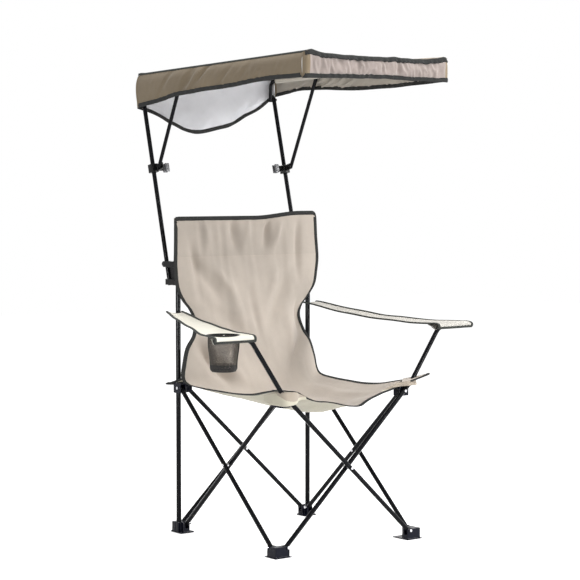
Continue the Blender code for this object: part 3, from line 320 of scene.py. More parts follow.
def ramp(value, low, high):
    """Zero below one value and one above another, with soft ends."""
    share = min(1.0, max(0.0, (value - low) / (high - low)))
    return share * share * (3 - 2 * share)


def rough(x, y, z):
    """Smooth noise about zero at a place in its own space: larger steps there give finer noise."""
    return noise.noise(Vector((x, y, z)))


def grid_over(rows, columns, point):
    """A sheet's points. Each comes from its shares of the way down the rows and over the columns."""
    grid = np.zeros((rows + 1, columns + 1, 3))
    for i in range(rows + 1):
        for j in range(columns + 1):
            grid[i, j] = point(i / rows, j / columns)
    return grid


def normals(grid):
    """Unit normals of a grid of points."""
    down, over = np.gradient(grid, axis=0), np.gradient(grid, axis=1)
    out = np.cross(down, over)
    return out / np.maximum(np.linalg.norm(out, axis=2, keepdims=True), 1e-9)


def grid_faces(rows, columns):
    """The four-sided faces between a grid's points."""
    faces = []
    for i in range(rows - 1):
        for j in range(columns - 1):
            a = i * columns + j
            faces.append((a, a + columns, a + columns + 1, a + 1))
    return faces


def ring_faces(count, sides, closed=False):
    """The faces that join each ring of points to the next, and the last to the first if closed."""
    faces = []
    for i in range(count if closed else count - 1):
        following = (i + 1) % count
        for k in range(sides):
            n = (k + 1) % sides
            faces.append((i * sides + k, i * sides + n, following * sides + n, following * sides + k))
    return faces


def lay_flat(made, grid):
    """Give a cloth the coordinates, in metres, of its points when it lies flat, for its weave."""
    rows, columns = grid.shape[:2]
    over = np.linalg.norm(np.diff(grid, axis=1), axis=2)
    down = np.linalg.norm(np.diff(grid, axis=0), axis=2)
    across = np.concatenate([np.zeros((rows, 1)), over.cumsum(axis=1)], axis=1)
    along = np.concatenate([np.zeros((1, columns)), down.cumsum(axis=0)])
    flat = np.stack([across - across[:, columns // 2][:, None], along], axis=2).reshape(-1, 2)
    layer = made.data.uv_layers.new(name="cloth")
    for loop in made.data.loops:
        layer.data[loop.index].uv = flat[loop.vertex_index % (rows * columns)]


def declare(grid, held):
    """Work out the width, length and area that a sheet's grid has when it lies flat."""
    over, down = np.diff(grid, axis=1), np.diff(grid, axis=0)
    width = np.linalg.norm(over, axis=2).sum(axis=1).max()
    length = np.linalg.norm(down, axis=2).sum(axis=0).max()
    area = np.linalg.norm(np.cross(over[:-1], down[:, :-1]), axis=2).sum()
    area = min(area, width * length)


def cloth(name, grid, finishes, body, thickness, out=None, folds=True):
    """A thick sheet about a grid of points. Its second finish, if any, faces away from the normals."""
    rows, columns = grid.shape[:2]
    out = normals(grid) if out is None else out
    count = rows * columns
    points = np.concatenate([(grid + out * thickness / 2), (grid - out * thickness / 2)]).reshape(-1, 3)
    faces = grid_faces(rows, columns)
    under = [tuple(i + count for i in reversed(face)) for face in faces]
    rim = [i * columns for i in range(rows)] + [(rows - 1) * columns + j for j in range(1, columns)]
    rim += [i * columns + columns - 1 for i in range(rows - 2, -1, -1)] + list(range(columns - 2, 0, -1))
    edge = [(b, a, a + count, b + count) for a, b in zip(rim, rim[1:] + rim[:1])]
    made = mesh_object(name, points, faces + under + edge, finishes[0])
    for finish in finishes[1:]:
        made.data.materials.append(finish)
        for face in made.data.polygons[len(faces):2 * len(faces)]:
            face.material_index = 1
    lay_flat(made, grid)
    upper = [tuple(normal) for normal in out.reshape(-1, 3)]
    lower = [tuple(-normal) for normal in out.reshape(-1, 3)]
    made.data.normals_split_custom_set_from_vertices(upper + lower)
    return carry(made, body, folds)


def pierced_cloth(name, grid, finish, body, thickness, hole):
    """A sheet over a grid of points, without the faces whose middles lie in a hole."""
    rows, columns = grid.shape[:2]
    flat = grid.reshape(-1, 3)
    faces = [face for face in grid_faces(rows, columns) if not hole(flat[list(face)].mean(axis=0))]
    made = mesh_object(name, flat, faces, finish)
    lay_flat(made, grid)
    mesh = bmesh.new()
    mesh.from_mesh(made.data)
    bmesh.ops.delete(mesh, geom=[v for v in mesh.verts if not v.link_faces], context="VERTS")
    mesh.to_mesh(made.data)
    mesh.free()
    shell = made.modifiers.new("thickness", "SOLIDIFY")
    shell.thickness = thickness
    shell.offset = 0
    shell.use_even_offset = True
    return carry(made, body, folds=False)


def band(name, path, inward, normal, size, finish, body, closed=False, folds=True):
    """A tape folded over a cloth's edge: a flattened oval, of a width and a thickness, along a path."""
    width, thick = size
    points = []
    for place, reach, up in zip(path, inward, normal):
        middle = place + reach * (width / 2 - thick / 3)
        for k in range(TAPE_SIDES):
            turn = 2 * math.pi * k / TAPE_SIDES
            c, s = math.cos(turn), math.sin(turn)
            flat_c = math.copysign(abs(c) ** TAPE_ROUNDNESS, c)
            flat_s = math.copysign(abs(s) ** TAPE_ROUNDNESS, s)
            points.append(middle + reach * flat_c * width / 2 + up * flat_s * thick / 2)
    count = len(path)
    faces = ring_faces(count, TAPE_SIDES, closed)
    if not closed:
        faces.append(tuple(range(TAPE_SIDES)))
        faces.append(tuple((count - 1) * TAPE_SIDES + k for k in reversed(range(TAPE_SIDES))))
    return carry(mesh_object(name, points, faces, finish), body, folds)


def edge_tape(name, grid, route, size, body, folds=True, finish=None):
    """A tape along grid points given as (row, column), folded over whichever edges they lie on."""
    rows, columns = grid.shape[:2]
    out = normals(grid)
    on_rows = {i for i, j in route if 0 < j < columns - 1}
    path, inward, up = [], [], []
    for i, j in route:
        di = (1 if i == 0 else -1) if i in (0, rows - 1) and i in on_rows else 0
        dj = (1 if j == 0 else -1) if j in (0, columns - 1) else 0
        step = np.zeros(3)
        for a, b in ((di, 0), (0, dj)):
            if a or b:
                side = grid[i + a, j + b] - grid[i, j]
                step = step + side / np.linalg.norm(side)
        path.append(grid[i, j])
        inward.append(step / np.linalg.norm(step))
        up.append(out[i, j])
    return band(name, path, inward, up, size, finish or BINDING, body, folds=folds)


def three_edges(grid, row):
    """A route along one side of a grid to its first or last row, along that, and back on the other side."""
    rows, columns = grid.shape[:2]
    toward = range(rows) if row else range(rows - 1, -1, -1)
    there = [(i, 0) for i in toward] + [(row, j) for j in range(1, columns - 1)]
    return there + [(i, columns - 1) for i in reversed(toward)]


def tube_mesh(path, radius, sides):
    """Points and faces of a closed round tube along a route."""
    path = np.array(path, float)
    ahead = np.gradient(path, axis=0)
    ahead /= np.linalg.norm(ahead, axis=1, keepdims=True)
    side = np.array(Vector(ahead[0]).orthogonal().normalized())
    points = []
    for place, along in zip(path, ahead):
        side = side - along * side.dot(along)
        side /= np.linalg.norm(side)
        other = np.cross(along, side)
        for k in range(sides):
            turn = 2 * math.pi * k / sides
            points.append(place + radius * (math.cos(turn) * side + math.sin(turn) * other))
    faces = ring_faces(len(path), sides)
    faces.append(tuple(reversed(range(sides))))
    faces.append(tuple((len(path) - 1) * sides + k for k in range(sides)))
    return points, faces


# Materials

def shader(name, colour, roughness, metallic=0.0, specular=0.5):
    """A material with fixed values on its main shader's own sockets."""
    made = bpy.data.materials.new(name)
    made.use_nodes = True
    main = made.node_tree.nodes["Principled BSDF"]
    main.inputs["Base Color"].default_value = (*colour, 1)
    main.inputs["Roughness"].default_value = roughness
    main.inputs["Metallic"].default_value = metallic
    main.inputs["Specular IOR Level"].default_value = specular
    return made, main


def add_node(tree, kind, links=(), **values):
    """A shader node, fed by links of (entry, source, output), with values for inputs or settings."""
    made = tree.nodes.new(f"ShaderNode{kind}")
    for key, value in values.items():
        if key in made.inputs:
            made.inputs[key].default_value = value
        else:
            setattr(made, key, value)
    for link in links:
        feed(tree, made, *link)
    return made


def feed(tree, target, entry, source, output):
    """Link a node's output to another node's input."""
    tree.links.new(source.outputs[output], target.inputs[entry])


def map_range(tree, source, output, given, wanted):
    """A node that turns one range of another node's values into a wanted one."""
    made = add_node(tree, "MapRange", [("Value", source, output)])
    for name, value in zip(("From Min", "From Max", "To Min", "To Max"), (*given, *wanted)):
        made.inputs[name].default_value = value
    return made


def scaled(tree, source, output, factor):
    """A node that multiplies another node's value by a fixed one."""
    made = add_node(tree, "Math", [(0, source, output)], operation="MULTIPLY")
    made.inputs[1].default_value = factor
    return made


def shaded(tree, colour, factor):
    """A node that multiplies a colour by the result of a range."""
    links = [("Color1", colour, "Color"), ("Color2", factor, "Result")]
    return add_node(tree, "MixRGB", links, blend_type="MULTIPLY", Fac=1.0)


def fabric(name, colour, thread=0.0009, contrast=0.10, patches=0.10, roughness=0.88, sheen=0.25, double=None):
    """A plain weave: warp and weft in the cloth's own metres, slubs, and slow changes of shade.

    From a height on, where the cloth is double, it can be darker by a share."""
    made, main = shader(name, colour, roughness, specular=0.25)
    tree = made.node_tree
    main.inputs["Sheen Weight"].default_value = sheen
    main.inputs["Sheen Roughness"].default_value = 0.5
    place = add_node(tree, "TexCoord")
    flat, round_about = [("Vector", place, "UV")], [("Vector", place, "Object")]
    weave = add_node(tree, "Math", operation="MULTIPLY")
    for entry, direction in enumerate(("X", "Y")):
        wave = add_node(tree, "TexWave", flat, bands_direction=direction, Distortion=0.4, Detail=1.0)
        wave.inputs["Scale"].default_value = 1 / (thread * 6.28)
        wave.inputs["Detail Scale"].default_value = 2.0
        feed(tree, weave, entry, wave, "Fac")
    slub = add_node(tree, "TexNoise", flat, Scale=420.0, Detail=3.0)
    both = [(0, weave, 0), (1, scaled(tree, slub, "Fac", 0.8), 0)]
    grain = add_node(tree, "Math", both, operation="ADD", use_clamp=True)
    dark = tuple(c * (1 - contrast) for c in colour)
    threads = add_node(tree, "MixRGB", [("Fac", grain, 0)], Color1=(*dark, 1), Color2=(*colour, 1))
    shade = add_node(tree, "TexNoise", round_about, Scale=7.0, Detail=4.0, Roughness=0.6)
    mottle = map_range(tree, shade, "Fac", (0.35, 0.65), (1 - patches, 1 + patches / 3))
    last = shaded(tree, threads, mottle)
    if double is not None:
        height, darker = double
        parts = add_node(tree, "SeparateXYZ", round_about)
        above = map_range(tree, parts, "Z", (height - 0.0015, height + 0.0015), (1.0, 1 - darker))
        last = shaded(tree, last, above)
    feed(tree, main, "Base Color", last, "Color")
    creases = add_node(tree, "TexNoise", round_about, Scale=38.0, Detail=4.0, Roughness=0.55)
    soft = add_node(tree, "Bump", [("Height", creases, "Fac")], Strength=0.18, Distance=0.004)
    heights = [("Height", weave, 0), ("Normal", soft, "Normal")]
    bump = add_node(tree, "Bump", heights, Strength=0.35, Distance=0.0004)
    feed(tree, main, "Normal", bump, "Normal")
    return made


def moulded(name, colour, roughness, metallic=0.0, grain=0.0002, specular=0.5):
    """Paint, plastic or steel with a fine orange peel and uneven gloss."""
    made, main = shader(name, colour, roughness, metallic, specular)
    tree = made.node_tree
    place = [("Vector", add_node(tree, "TexCoord"), "Object")]
    fine = add_node(tree, "TexNoise", place, Scale=260.0, Detail=3.0)
    smear = add_node(tree, "TexNoise", place, Scale=24.0, Detail=5.0, Roughness=0.65)
    gloss = map_range(tree, smear, "Fac", (0.3, 0.7), (roughness * 0.8, min(1.0, roughness * 1.35)))
    feed(tree, main, "Roughness", gloss, "Result")
    lighter = [min(1.0, c * 1.5 + 0.004) for c in colour]
    worn = add_node(tree, "MixRGB", [("Fac", smear, "Fac")], Color1=(*colour, 1), Color2=(*lighter, 1))
    feed(tree, main, "Base Color", worn, "Color")
    bump = add_node(tree, "Bump", [("Height", fine, "Fac")], Strength=0.25, Distance=grain)
    feed(tree, main, "Normal", bump, "Normal")
    return made


ARM_LOOK = {"contrast": 0.05, "patches": 0.05, "sheen": 0.04}
LINING_LOOK = {"contrast": 0.04, "sheen": 0.05, "roughness": 0.6}
TAPE_LOOK = {"thread": 0.0012, "sheen": 0.05, "roughness": 0.8}

TAN = fabric("sling_cloth", (0.560, 0.495, 0.430), double=(HEADREST_SEAM_Z, 0.05))
TAN_BACK = fabric("sling_back", (0.640, 0.600, 0.480), contrast=0.06)
# The sling's outer tan darkened as painted shade, for the fold along a pocket's top
POCKET_SHADE = fabric("pocket_cloth_painted_shade", (0.450, 0.385, 0.310))
# The left armrest's cream is a darker copy of the right one's, as painted shade on the side that the light
# grazes
CREAM = {
    "right": fabric("armrest_cloth", (0.860, 0.835, 0.735), **ARM_LOOK),
    "left": fabric("armrest_cloth_left_painted_shade", (0.580, 0.560, 0.515), **ARM_LOOK),
}
# One canopy cloth in two colours: khaki darkened as painted shade for the roof, the side and rear walls and
# the corner bands, and a lighter valance colour as painted light on the lit front
SHADED_KHAKI = fabric("canopy_cloth", (0.262, 0.202, 0.128))
LIT_VALANCE = fabric("valance_cloth_painted_light", (0.350, 0.295, 0.270))
LINING = fabric("canopy_lining", (0.760, 0.770, 0.810), **LINING_LOOK)
# The roof's lining is lightened as painted light from below, and the side walls' lining darkened as painted
# shade
LIT_ROOF_LINING = fabric("canopy_lining_roof_painted_light", (0.920, 0.880, 0.850), **LINING_LOOK)
SHADED_SIDE_LINING = fabric("canopy_lining_side_painted_shade", (0.520, 0.480, 0.420), **LINING_LOOK)
RAIL_CLOTH = fabric("rail_sleeve_cloth", (0.560, 0.520, 0.450), contrast=0.06)
BINDING = fabric("binding", (0.016, 0.017, 0.016), contrast=0.35, **TAPE_LOOK)
EDGE_TAPE = fabric("edge_tape", (0.040, 0.044, 0.038), contrast=0.30, **TAPE_LOOK)
THREAD = moulded("sewing_thread", (0.47, 0.41, 0.35), 0.8)
NET = moulded("cup_mesh", (0.075, 0.063, 0.050), 0.75)
NET_DARK = moulded("cup_band_mesh", (0.022, 0.020, 0.018), 0.75)
BLACK_STEEL = moulded("black_steel", (0.0016, 0.0019, 0.0034), 0.15, grain=0.00002, specular=0.09)
FOOT_PLASTIC = moulded("foot_plastic", (0.0020, 0.0030, 0.0100), 0.16, grain=0.00008, specular=0.13)
FITTING = moulded("fitting_plastic", (0.0040, 0.0040, 0.0045), 0.26, grain=0.00008, specular=0.14)
GREY = moulded("grey_plastic", (0.110, 0.112, 0.120), 0.32, specular=0.4)
RIVET = moulded("rivet_steel", (0.50, 0.50, 0.52), 0.24, metallic=1.0)


# Frame: rivets and pins keep their nodes, and tubes and moulded pieces get copies in their place

def finish_node(item, finishes, pick=None):
    """Give an object its finishes. Where there are two, pick says which faces take the second."""
    item.data.materials.clear()
    for finish in finishes:
        item.data.materials.append(finish)
    for face in item.data.polygons:
        face.material_index = int(pick(face.center)) if pick else 0
    item.data.shade_smooth()
    item.data.set_sharp_from_angle(angle=math.radians(40))


def stand_in(made, node, item):
    """Let a copy ride where its node does, in the node's place."""
    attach(made, item["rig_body"])
    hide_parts(node)


def painted_tube(node, item):
    """A tube of the same shape as its node, with joined corners, so that it shades as one round face."""
    made = placed(f"{node}_painted", item.data.copy())
    mesh = bmesh.new()
    mesh.from_mesh(made.data)
    bmesh.ops.remove_doubles(mesh, verts=mesh.verts[:], dist=WELD_DISTANCE)
    mesh.to_mesh(made.data)
    mesh.free()
    own_normals = made.data.attributes.get("custom_normal")
    if own_normals:
        made.data.attributes.remove(own_normals)
    finish_node(made, [BLACK_STEEL])
    stand_in(made, node, item)


def trimmed_foot(node, data):
    """Draw a foot in round the tube that it holds. A front foot also gets a thin flange to stand on."""
    _, end, side = node.split("_")
    across = dict(SIDES)[side]
    if end == "rear":
        hold = (across * UPRIGHT_X, UPRIGHT_Y + CENTRE_Y)
    else:
        hold = (across * SIDE_TUBE_X[side], FRONT_TUBE_Y_FOOT[side] + CENTRE_Y)
    share = FOOT_FLAT_SHARE[end]
    for vertex in data.vertices:
        for axis in (0, 1):
            vertex.co[axis] = hold[axis] + (vertex.co[axis] - hold[axis]) * share
        vertex.co[2] *= FOOT_TALL_SHARE
    if end == "rear":
        return
    box_low, box_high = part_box(node)
    low = [hold[k] + (box_low[k] - hold[k]) * share - FLANGE_OUT for k in (0, 1)]
    high = [hold[k] + (box_high[k] - hold[k]) * share + FLANGE_OUT for k in (0, 1)]
    mesh = bmesh.new()
    mesh.from_mesh(data)
    for vertex in bmesh.ops.create_cube(mesh, size=1.0)["verts"]:
        for axis in (0, 1):
            vertex.co[axis] = (low[axis] + high[axis]) / 2 + vertex.co[axis] * (high[axis] - low[axis])
        vertex.co[2] = FLANGE_THICK * (vertex.co[2] + 0.5)
    mesh.to_mesh(data)
    mesh.free()


def softened(node, item, finishes, pick=None):
    """A moulded piece with its edges rounded as a mould leaves them, in the place of its plain node."""
    made = placed(f"{node}_moulded", item.data.copy())
    if node.startswith("foot_"):
        trimmed_foot(node, made.data)
    remesh = made.modifiers.new("remesh", "REMESH")
    remesh.mode = "VOXEL"
    remesh.voxel_size = VOXEL
    smooth = made.modifiers.new("smooth", "SMOOTH")
    smooth.factor = 0.5
    smooth.iterations = SMOOTH_PASSES
    fewer = made.modifiers.new("fewer", "DECIMATE")
    fewer.ratio = KEPT_FACES
    shape = made.evaluated_get(bpy.context.evaluated_depsgraph_get())
    data = bpy.data.meshes.new_from_object(shape)
    made.modifiers.clear()
    made.data = data
    finish_node(made, finishes, pick)
    data.set_sharp_from_angle(angle=math.radians(75))
    stand_in(made, node, item)


def on_clip(place):
    """Whether a place on a clamp belongs to the grey clip on its inner side."""
    return abs(place.x) < CLIP_FROM_X


for node, item in list(frame["nodes"].items()):
    if node.endswith("_pin") or node.startswith("crossing_rivet"):
        finish_node(item, [RIVET])
    elif node.startswith(TUBES):
        painted_tube(node, item)
    elif node.startswith("canopy_clamp"):
        softened(node, item, [FITTING, GREY], on_clip)
    elif node.startswith(("canopy_bracket", "thumb_screw")):
        softened(node, item, [FITTING])
    elif node.startswith(("foot_", "hub_")):
        softened(node, item, [FOOT_PLASTIC])


# Sling

def fold_depth(x, z):
    """How far the folds of the back press its cloth away from the sitter at a place."""
    depth = 0.0
    for (x0, z0), (x1, z1), width, amount in BACK_FOLDS:
        run_x, run_z = x1 - x0, z1 - z0
        length = math.hypot(run_x, run_z)
        along = ((x - x0) * run_x + (z - z0) * run_z) / length**2
        off = ((x - x0) * run_z - (z - z0) * run_x) / length
        fade = math.sin(math.pi * along) ** FOLD_FADE if 0 < along < 1 else 0.0
        depth += amount * math.exp(-((off / width) ** 2)) * fade
    return depth


def sling_rows():
    """Corner values of each row of the sling, from the top edge to the front edge of the seat."""
    face_y = UPRIGHT_Y - UPRIGHT_R - GAP - SLING_CLOTH / 2
    tall = UPRIGHT_TOP_Z - HUB_Z
    rows = []
    for edge_up, mid_up, wide, edge_lean, mid_lean in BACK_ROW_SHARES:
        depth = (face_y - BACK_LEAN * edge_lean, face_y - BACK_LEAN * mid_lean)
        rows.append((*depth, HUB_Z + tall * edge_up, HUB_Z + tall * mid_up, UPRIGHT_X * wide))
    for edge_y, mid_y, wide, lift, sag in SEAT_ROW_SHARES:
        depth = (UPRIGHT_Y * edge_y, UPRIGHT_Y * mid_y)
        rows.append((*depth, HUB_Z + SEAT_LIFT * lift, HUB_Z - SEAT_SAG * sag, UPRIGHT_X * wide))
    return rows


def shape_top(x, z):
    """Height of a point of the back once its top edge has its lift and its rounded corners."""
    lift = TOP_LIFT_LEFT * ramp(x, 0.03, 0.22) * ramp(z, HEADREST_SEAM_Z - 0.02, UPRIGHT_TOP_Z)
    half = UPRIGHT_X * BACK_ROW_SHARES[0][2] + (LEFT_TOP_EXTRA if x > 0 else 0.0)
    inside = TOP_CORNER_RADIUS - min(TOP_CORNER_RADIUS, max(0.0, half - abs(x)))
    drop = TOP_CORNER_RADIUS - math.sqrt(max(0.0, TOP_CORNER_RADIUS**2 - inside**2))
    near_top = min(1.0, max(0.0, (z - UPRIGHT_TOP_Z + TOP_CORNER_REACH) / TOP_CORNER_REACH))
    return z + lift - drop * near_top


def sling_surface(shares):
    """Points of the sling without its folds, from the top edge to the seat's front edge."""
    rows = sling_rows()
    fine = through(rows, (len(rows) - 1) * SLING_STEPS + 1)
    extra, front_edge = smooth_table(LEFT_EXTRA), smooth_table(FRONT_EDGE)
    last = len(fine) - 1
    grid = np.zeros((len(fine), len(shares), 3))
    for i, (edge_y, mid_y, edge_z, mid_z, half) in enumerate(fine):
        wider = extra(edge_z) if i <= BACK_END else 0.0
        to_front = ramp(i, last - FRONT_BLEND_ROWS * SLING_STEPS, last)
        for j, share in enumerate(shares):
            x = share * (half + (wider if share > 0 else 0.0))
            z = mid_z + (edge_z - mid_z) * abs(share) ** EDGE_POWER
            if i <= BACK_END:
                z = shape_top(x, z)
            z += (front_edge(x) - z) * to_front
            grid[i, j] = (x, mid_y + (edge_y - mid_y) * share**2, z)
    return grid


def facing(out):
    """Minus one where a normal points away from the sitter, so that a push always goes that way."""
    return -1.0 if out[2] < out[1] else 1.0


def sling_grid():
    """The sling with its folds and ripples, in columns that crowd towards its side edges."""
    shares = np.sin(np.linspace(-1, 1, SLING_COLUMNS + 1) * math.pi * COLUMN_CROWDING)
    shares /= shares[-1]
    grid = sling_surface(shares)
    out = normals(grid)
    for i in range(grid.shape[0]):
        seat = ramp(i, BACK_END - 8, BACK_END + 4)
        for j, share in enumerate(shares):
            x, y, z = grid[i, j]
            held = 1 - abs(share) ** EDGE_HOLD
            if i <= BACK_END:
                beside = ramp(abs(x), UPRIGHT_X - UPRIGHT_HOLD_FAR, UPRIGHT_X - UPRIGHT_HOLD_NEAR)
                held *= 1 - beside * ramp(z, UPRIGHT_HOLD_LOW_Z, UPRIGHT_HOLD_HIGH_Z)
                held *= ramp(UPRIGHT_TOP_Z - z, -TOP_EDGE_PAST, TOP_EDGE_FADE)
            ripple = BROAD_RIPPLE * rough(x * 11 + z * 4, y * 6 + 3, z * 4 - x * 5)
            ripple += FINE_RIPPLE * rough(x * 24 + z * 9, y * 15, z * 8 - x * 6 + 7)
            streak = STREAK + HEADREST_STREAK * ramp(z, 0.70, 0.90)
            ripple += streak * rough(x * 46 + z * 3, y * 3, z * 3.2 + 11)
            ripple += SEAT_RIPPLE * math.sin(share * 9.0 + y * 10) * seat
            push = FOLD_GAIN * fold_depth(x, z) * (1 - seat)
            grid[i, j] = grid[i, j] - out[i, j] * held * (push * facing(out[i, j]) - ripple)
    return grid


SLING = sling_grid()
SLING_OUT = normals(SLING)
BACK_ROWS = slice(0, BACK_END + 1)
SEAT_REAR_ROWS = slice(BACK_END, SEAT_FOLD + 1)
SEAT_FRONT_ROWS = slice(SEAT_FOLD, None)


def sling_panel(name, rows, node, body):
    """One panel of the sling, shaded as a part of the whole so that no line shows where it ends."""
    finishes = [TAN, TAN_BACK]
    made = cloth(name, SLING[rows], finishes, body, SLING_CLOTH, SLING_OUT[rows])
    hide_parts(node)
    return made


def stitches(name, path, up, body):
    """A row of sewn stitches along a path, each a short thread lying on the cloth."""
    points, faces = [], []
    path, up = np.array(path), np.array(up)
    reach = np.concatenate([[0], np.linalg.norm(np.diff(path, axis=0), axis=1).cumsum()])

    def at(along, values):
        return np.array([np.interp(along, reach, values[:, axis]) for axis in range(3)])

    for k in range(int(reach[-1] / STITCH_PITCH)):
        start, end = at(k * STITCH_PITCH, path), at(k * STITCH_PITCH + STITCH_LENGTH, path)
        lift = at(k * STITCH_PITCH, up) * STITCH_R
        thread = [start, (start + end) / 2 + lift, end]
        more, more_faces = tube_mesh([place + lift * 0.6 for place in thread], STITCH_R, 6)
        first = len(points)
        points += more
        faces += [tuple(first + i for i in face) for face in more_faces]
    return carry(mesh_object(name, points, faces, THREAD), body)


def headrest_seam():
    """The row of stitches along the lower edge of the headrest's double cloth."""
    path, up = [], []
    for j in range(SEAM_FROM_EDGE, SLING_COLUMNS + 1 - SEAM_FROM_EDGE):
        column = SLING[:BACK_END, j]
        i = int(np.searchsorted(-column[:, 2], -HEADREST_SEAM_Z))
        share = (column[i - 1, 2] - HEADREST_SEAM_Z) / (column[i - 1, 2] - column[i, 2])
        out = SLING_OUT[i, j]
        path.append(column[i - 1] + (column[i] - column[i - 1]) * share + out * SLING_CLOTH / 2)
        up.append(out)
    stitches("headrest_seam", path, up, "right_post")


def sling():
    """The three panels of the sling, with the tapes round their outer edges."""
    size = (TAPE_WIDTH, TAPE_THICK)
    back = sling_panel("sling_back_panel", BACK_ROWS, "back_sling", "right_post")
    rear = sling_panel("sling_seat_rear_panel", SEAT_REAR_ROWS, "seat_sling_rear", "seat_rear")
    front = sling_panel("sling_seat_front_panel", SEAT_FRONT_ROWS, "seat_sling_front", "seat_front")
    back_grid, rear_grid, front_grid = SLING[BACK_ROWS], SLING[SEAT_REAR_ROWS], SLING[SEAT_FRONT_ROWS]
    back_tape = edge_tape("sling_back_tape", back_grid, three_edges(back_grid, 0), size, "right_post")
    for side, column in (("right", 0), ("left", SLING_COLUMNS)):
        route = [(i, column) for i in range(len(rear_grid))]
        edge_tape(f"sling_seat_rear_tape_{side}", rear_grid, route, size, "seat_rear")
    route = three_edges(front_grid, len(front_grid) - 1)
    front_tape = edge_tape("sling_seat_front_tape", front_grid, route, size, "seat_front")
    headrest_seam()
    declare(back_grid, "hung")
    declare(rear_grid, "hung")
    declare(front_grid, "hung")


def sleeve(side, across):
    """A pocket of cloth behind an upright's top, open below, from one edge of the tube to the other."""
    high = UPRIGHT_TOP_Z - SLEEVE_BELOW_TOP
    radius = UPRIGHT_R + SLEEVE_LOOSE
    sling_y = UPRIGHT_Y - UPRIGHT_R - GAP + 0.001

    def point(down, over):
        z = high + (SLEEVE_LOW_Z - high) * down
        turn = math.pi * (1.18 * over - 0.09)
        flare = max(0.0, abs(2 * over - 1) - SLEEVE_FLARE_FROM) / (1 - SLEEVE_FLARE_FROM)
        x = across * UPRIGHT_X - math.cos(turn) * radius * 1.05
        x += math.copysign(SLEEVE_FLARE * flare, over - 0.5)
        y = UPRIGHT_Y + max(math.sin(turn), -0.6) * radius
        y += (sling_y - y) * min(1.0, flare)
        return x, y + 0.0008 * rough(over * 4, z * 40, across), z

    grid = grid_over(13, 24, point)
    body = f"{side}_post"
    made = cloth(f"sling_sleeve_{side}", grid, [TAN], body, SLING_CLOTH, folds=False)
    path, out = list(grid[-1]), list(normals(grid)[-1])
    rise = [np.array((0, 0, 1.0))] * len(path)
    name = f"sling_sleeve_hem_{side}"
    hem = band(name, path, rise, out, SLEEVE_HEM, TAN, body, folds=False)
    declare(grid, "stretched")


# Corners, where the seat is sewn round the hubs

def tab(name, corners, body, lift=0.004):
    """A folded corner of the seat: a triangle of cloth whose edges carry a tape."""
    base_a, base_b, tip = [np.array(corner, float) for corner in corners]

    def point(along, over):
        base = base_a + (base_b - base_a) * over
        end = tip + (base_b - base_a) * (over - 0.5) * TAB_TIP_SHARE
        place = base + (end - base) * along
        place[2] += lift * math.sin(math.pi * over) * (1 - along * 0.5) + TAB_TIP_RISE * along**2
        return place

    grid = grid_over(TAB_ROWS, TAB_COLUMNS, point)
    made = cloth(name, grid, [TAN, TAN_BACK], body, SLING_CLOTH * 2, folds=False)
    size = (TAPE_WIDTH * 0.7, TAPE_THICK)
    tape = edge_tape(f"{name}_tape", grid, three_edges(grid, TAB_ROWS), size, body, folds=False)
    declare(grid, "folded")


def pocket(side, across):
    """The pocket at a front corner of the seat, which goes over the hub and the tube before it."""
    front = FRONT_TUBE_Y[side] - POCKET_AHEAD
    # From the pocket's inner end: distance from the middle, Y, height of the top, share of the depth
    outline = (
        (0.150, -0.2500, 0.464, 0.16), (0.180, -0.2540, 0.476, 0.50), (0.208, front + 0.011, 0.484, 0.84),
        (0.238, front, 0.488, 1.00), (0.262, front + 0.004, 0.488, 1.00), (0.274, -0.2620, 0.486, 0.90),
        (0.275, -0.2400, 0.481, 0.75), (0.270, -0.2080, 0.474, 0.40),
    )
    path = through(outline, POCKET_COLUMNS)
    grid = np.zeros((POCKET_ROWS, POCKET_COLUMNS, 3))
    for j, (x, y, top, share_down) in enumerate(path):
        share = j / (POCKET_COLUMNS - 1)
        inward = np.array(POCKET_MIDDLE) - (x, y)
        inward /= np.linalg.norm(inward)
        for i in range(POCKET_ROWS):
            down = i / (POCKET_ROWS - 1)
            under = max(0.0, down - POCKET_TUCK_FROM) / (1 - POCKET_TUCK_FROM)
            crease = POCKET_CREASE * rough(share * 7, down * 1.5, across * 5 + 2)
            swell = POCKET_SWELL * math.sin(math.pi * down) + crease
            x_here, y_here = (x, y) + inward * (POCKET_TUCK * under**2 - swell)
            fall = POCKET_DEPTH[side] * share_down * math.sin(down * math.pi / 2)
            grid[i, j] = (across * x_here, y_here, top - fall)
    name, body = f"front_pocket_{side}", f"front_hub_{side}"
    made = cloth(name, grid, [TAN_BACK], body, SLING_CLOTH, folds=False)
    # Near its top a pocket takes the tan darkened as painted shade; the left one takes it all over
    made.data.materials.append(POCKET_SHADE)
    for face in made.data.polygons:
        i, j = divmod(face.vertices[0] % (POCKET_ROWS * POCKET_COLUMNS), POCKET_COLUMNS)
        share = min(1.0, j / (POCKET_COLUMNS - 1) / POCKET_SHADE_END[side])
        if i < POCKET_ROWS * POCKET_SHADE_SHARE[side] * math.sin(math.pi * share) ** 0.7:
            face.material_index = 1
    declare(grid, "gathered")


# Armrests

def arm_height(behind):
    """An armrest's height at a distance behind its front edge, before its rear end's own drop."""
    base = ARM_TUBE_Z + TUBE_R + GAP + ARM_CLOTH
    share = max(0.0, (behind - ARM_LEVEL) / (ARM_RUN - ARM_LEVEL))
    return base + (ARM_REAR_Z - base) * share - ARM_SAG * share * (1 - min(1.0, share))


def arm_x(share, over):
    """Distance from the middle of a point of an armrest, whose sides draw together to the rear."""
    inner = ARM_INNER_X + (ARM_REAR_INNER_X - ARM_INNER_X) * share
    outer = ARM_OUTER_X + (ARM_REAR_OUTER_X - ARM_OUTER_X) * share
    return inner + (outer - inner) * over


def with_arm(piece, side, across):
    """Let a piece ride with its armrest, on a mesh of its own."""
    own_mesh(piece)
    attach(piece, f"armrest_{side}")


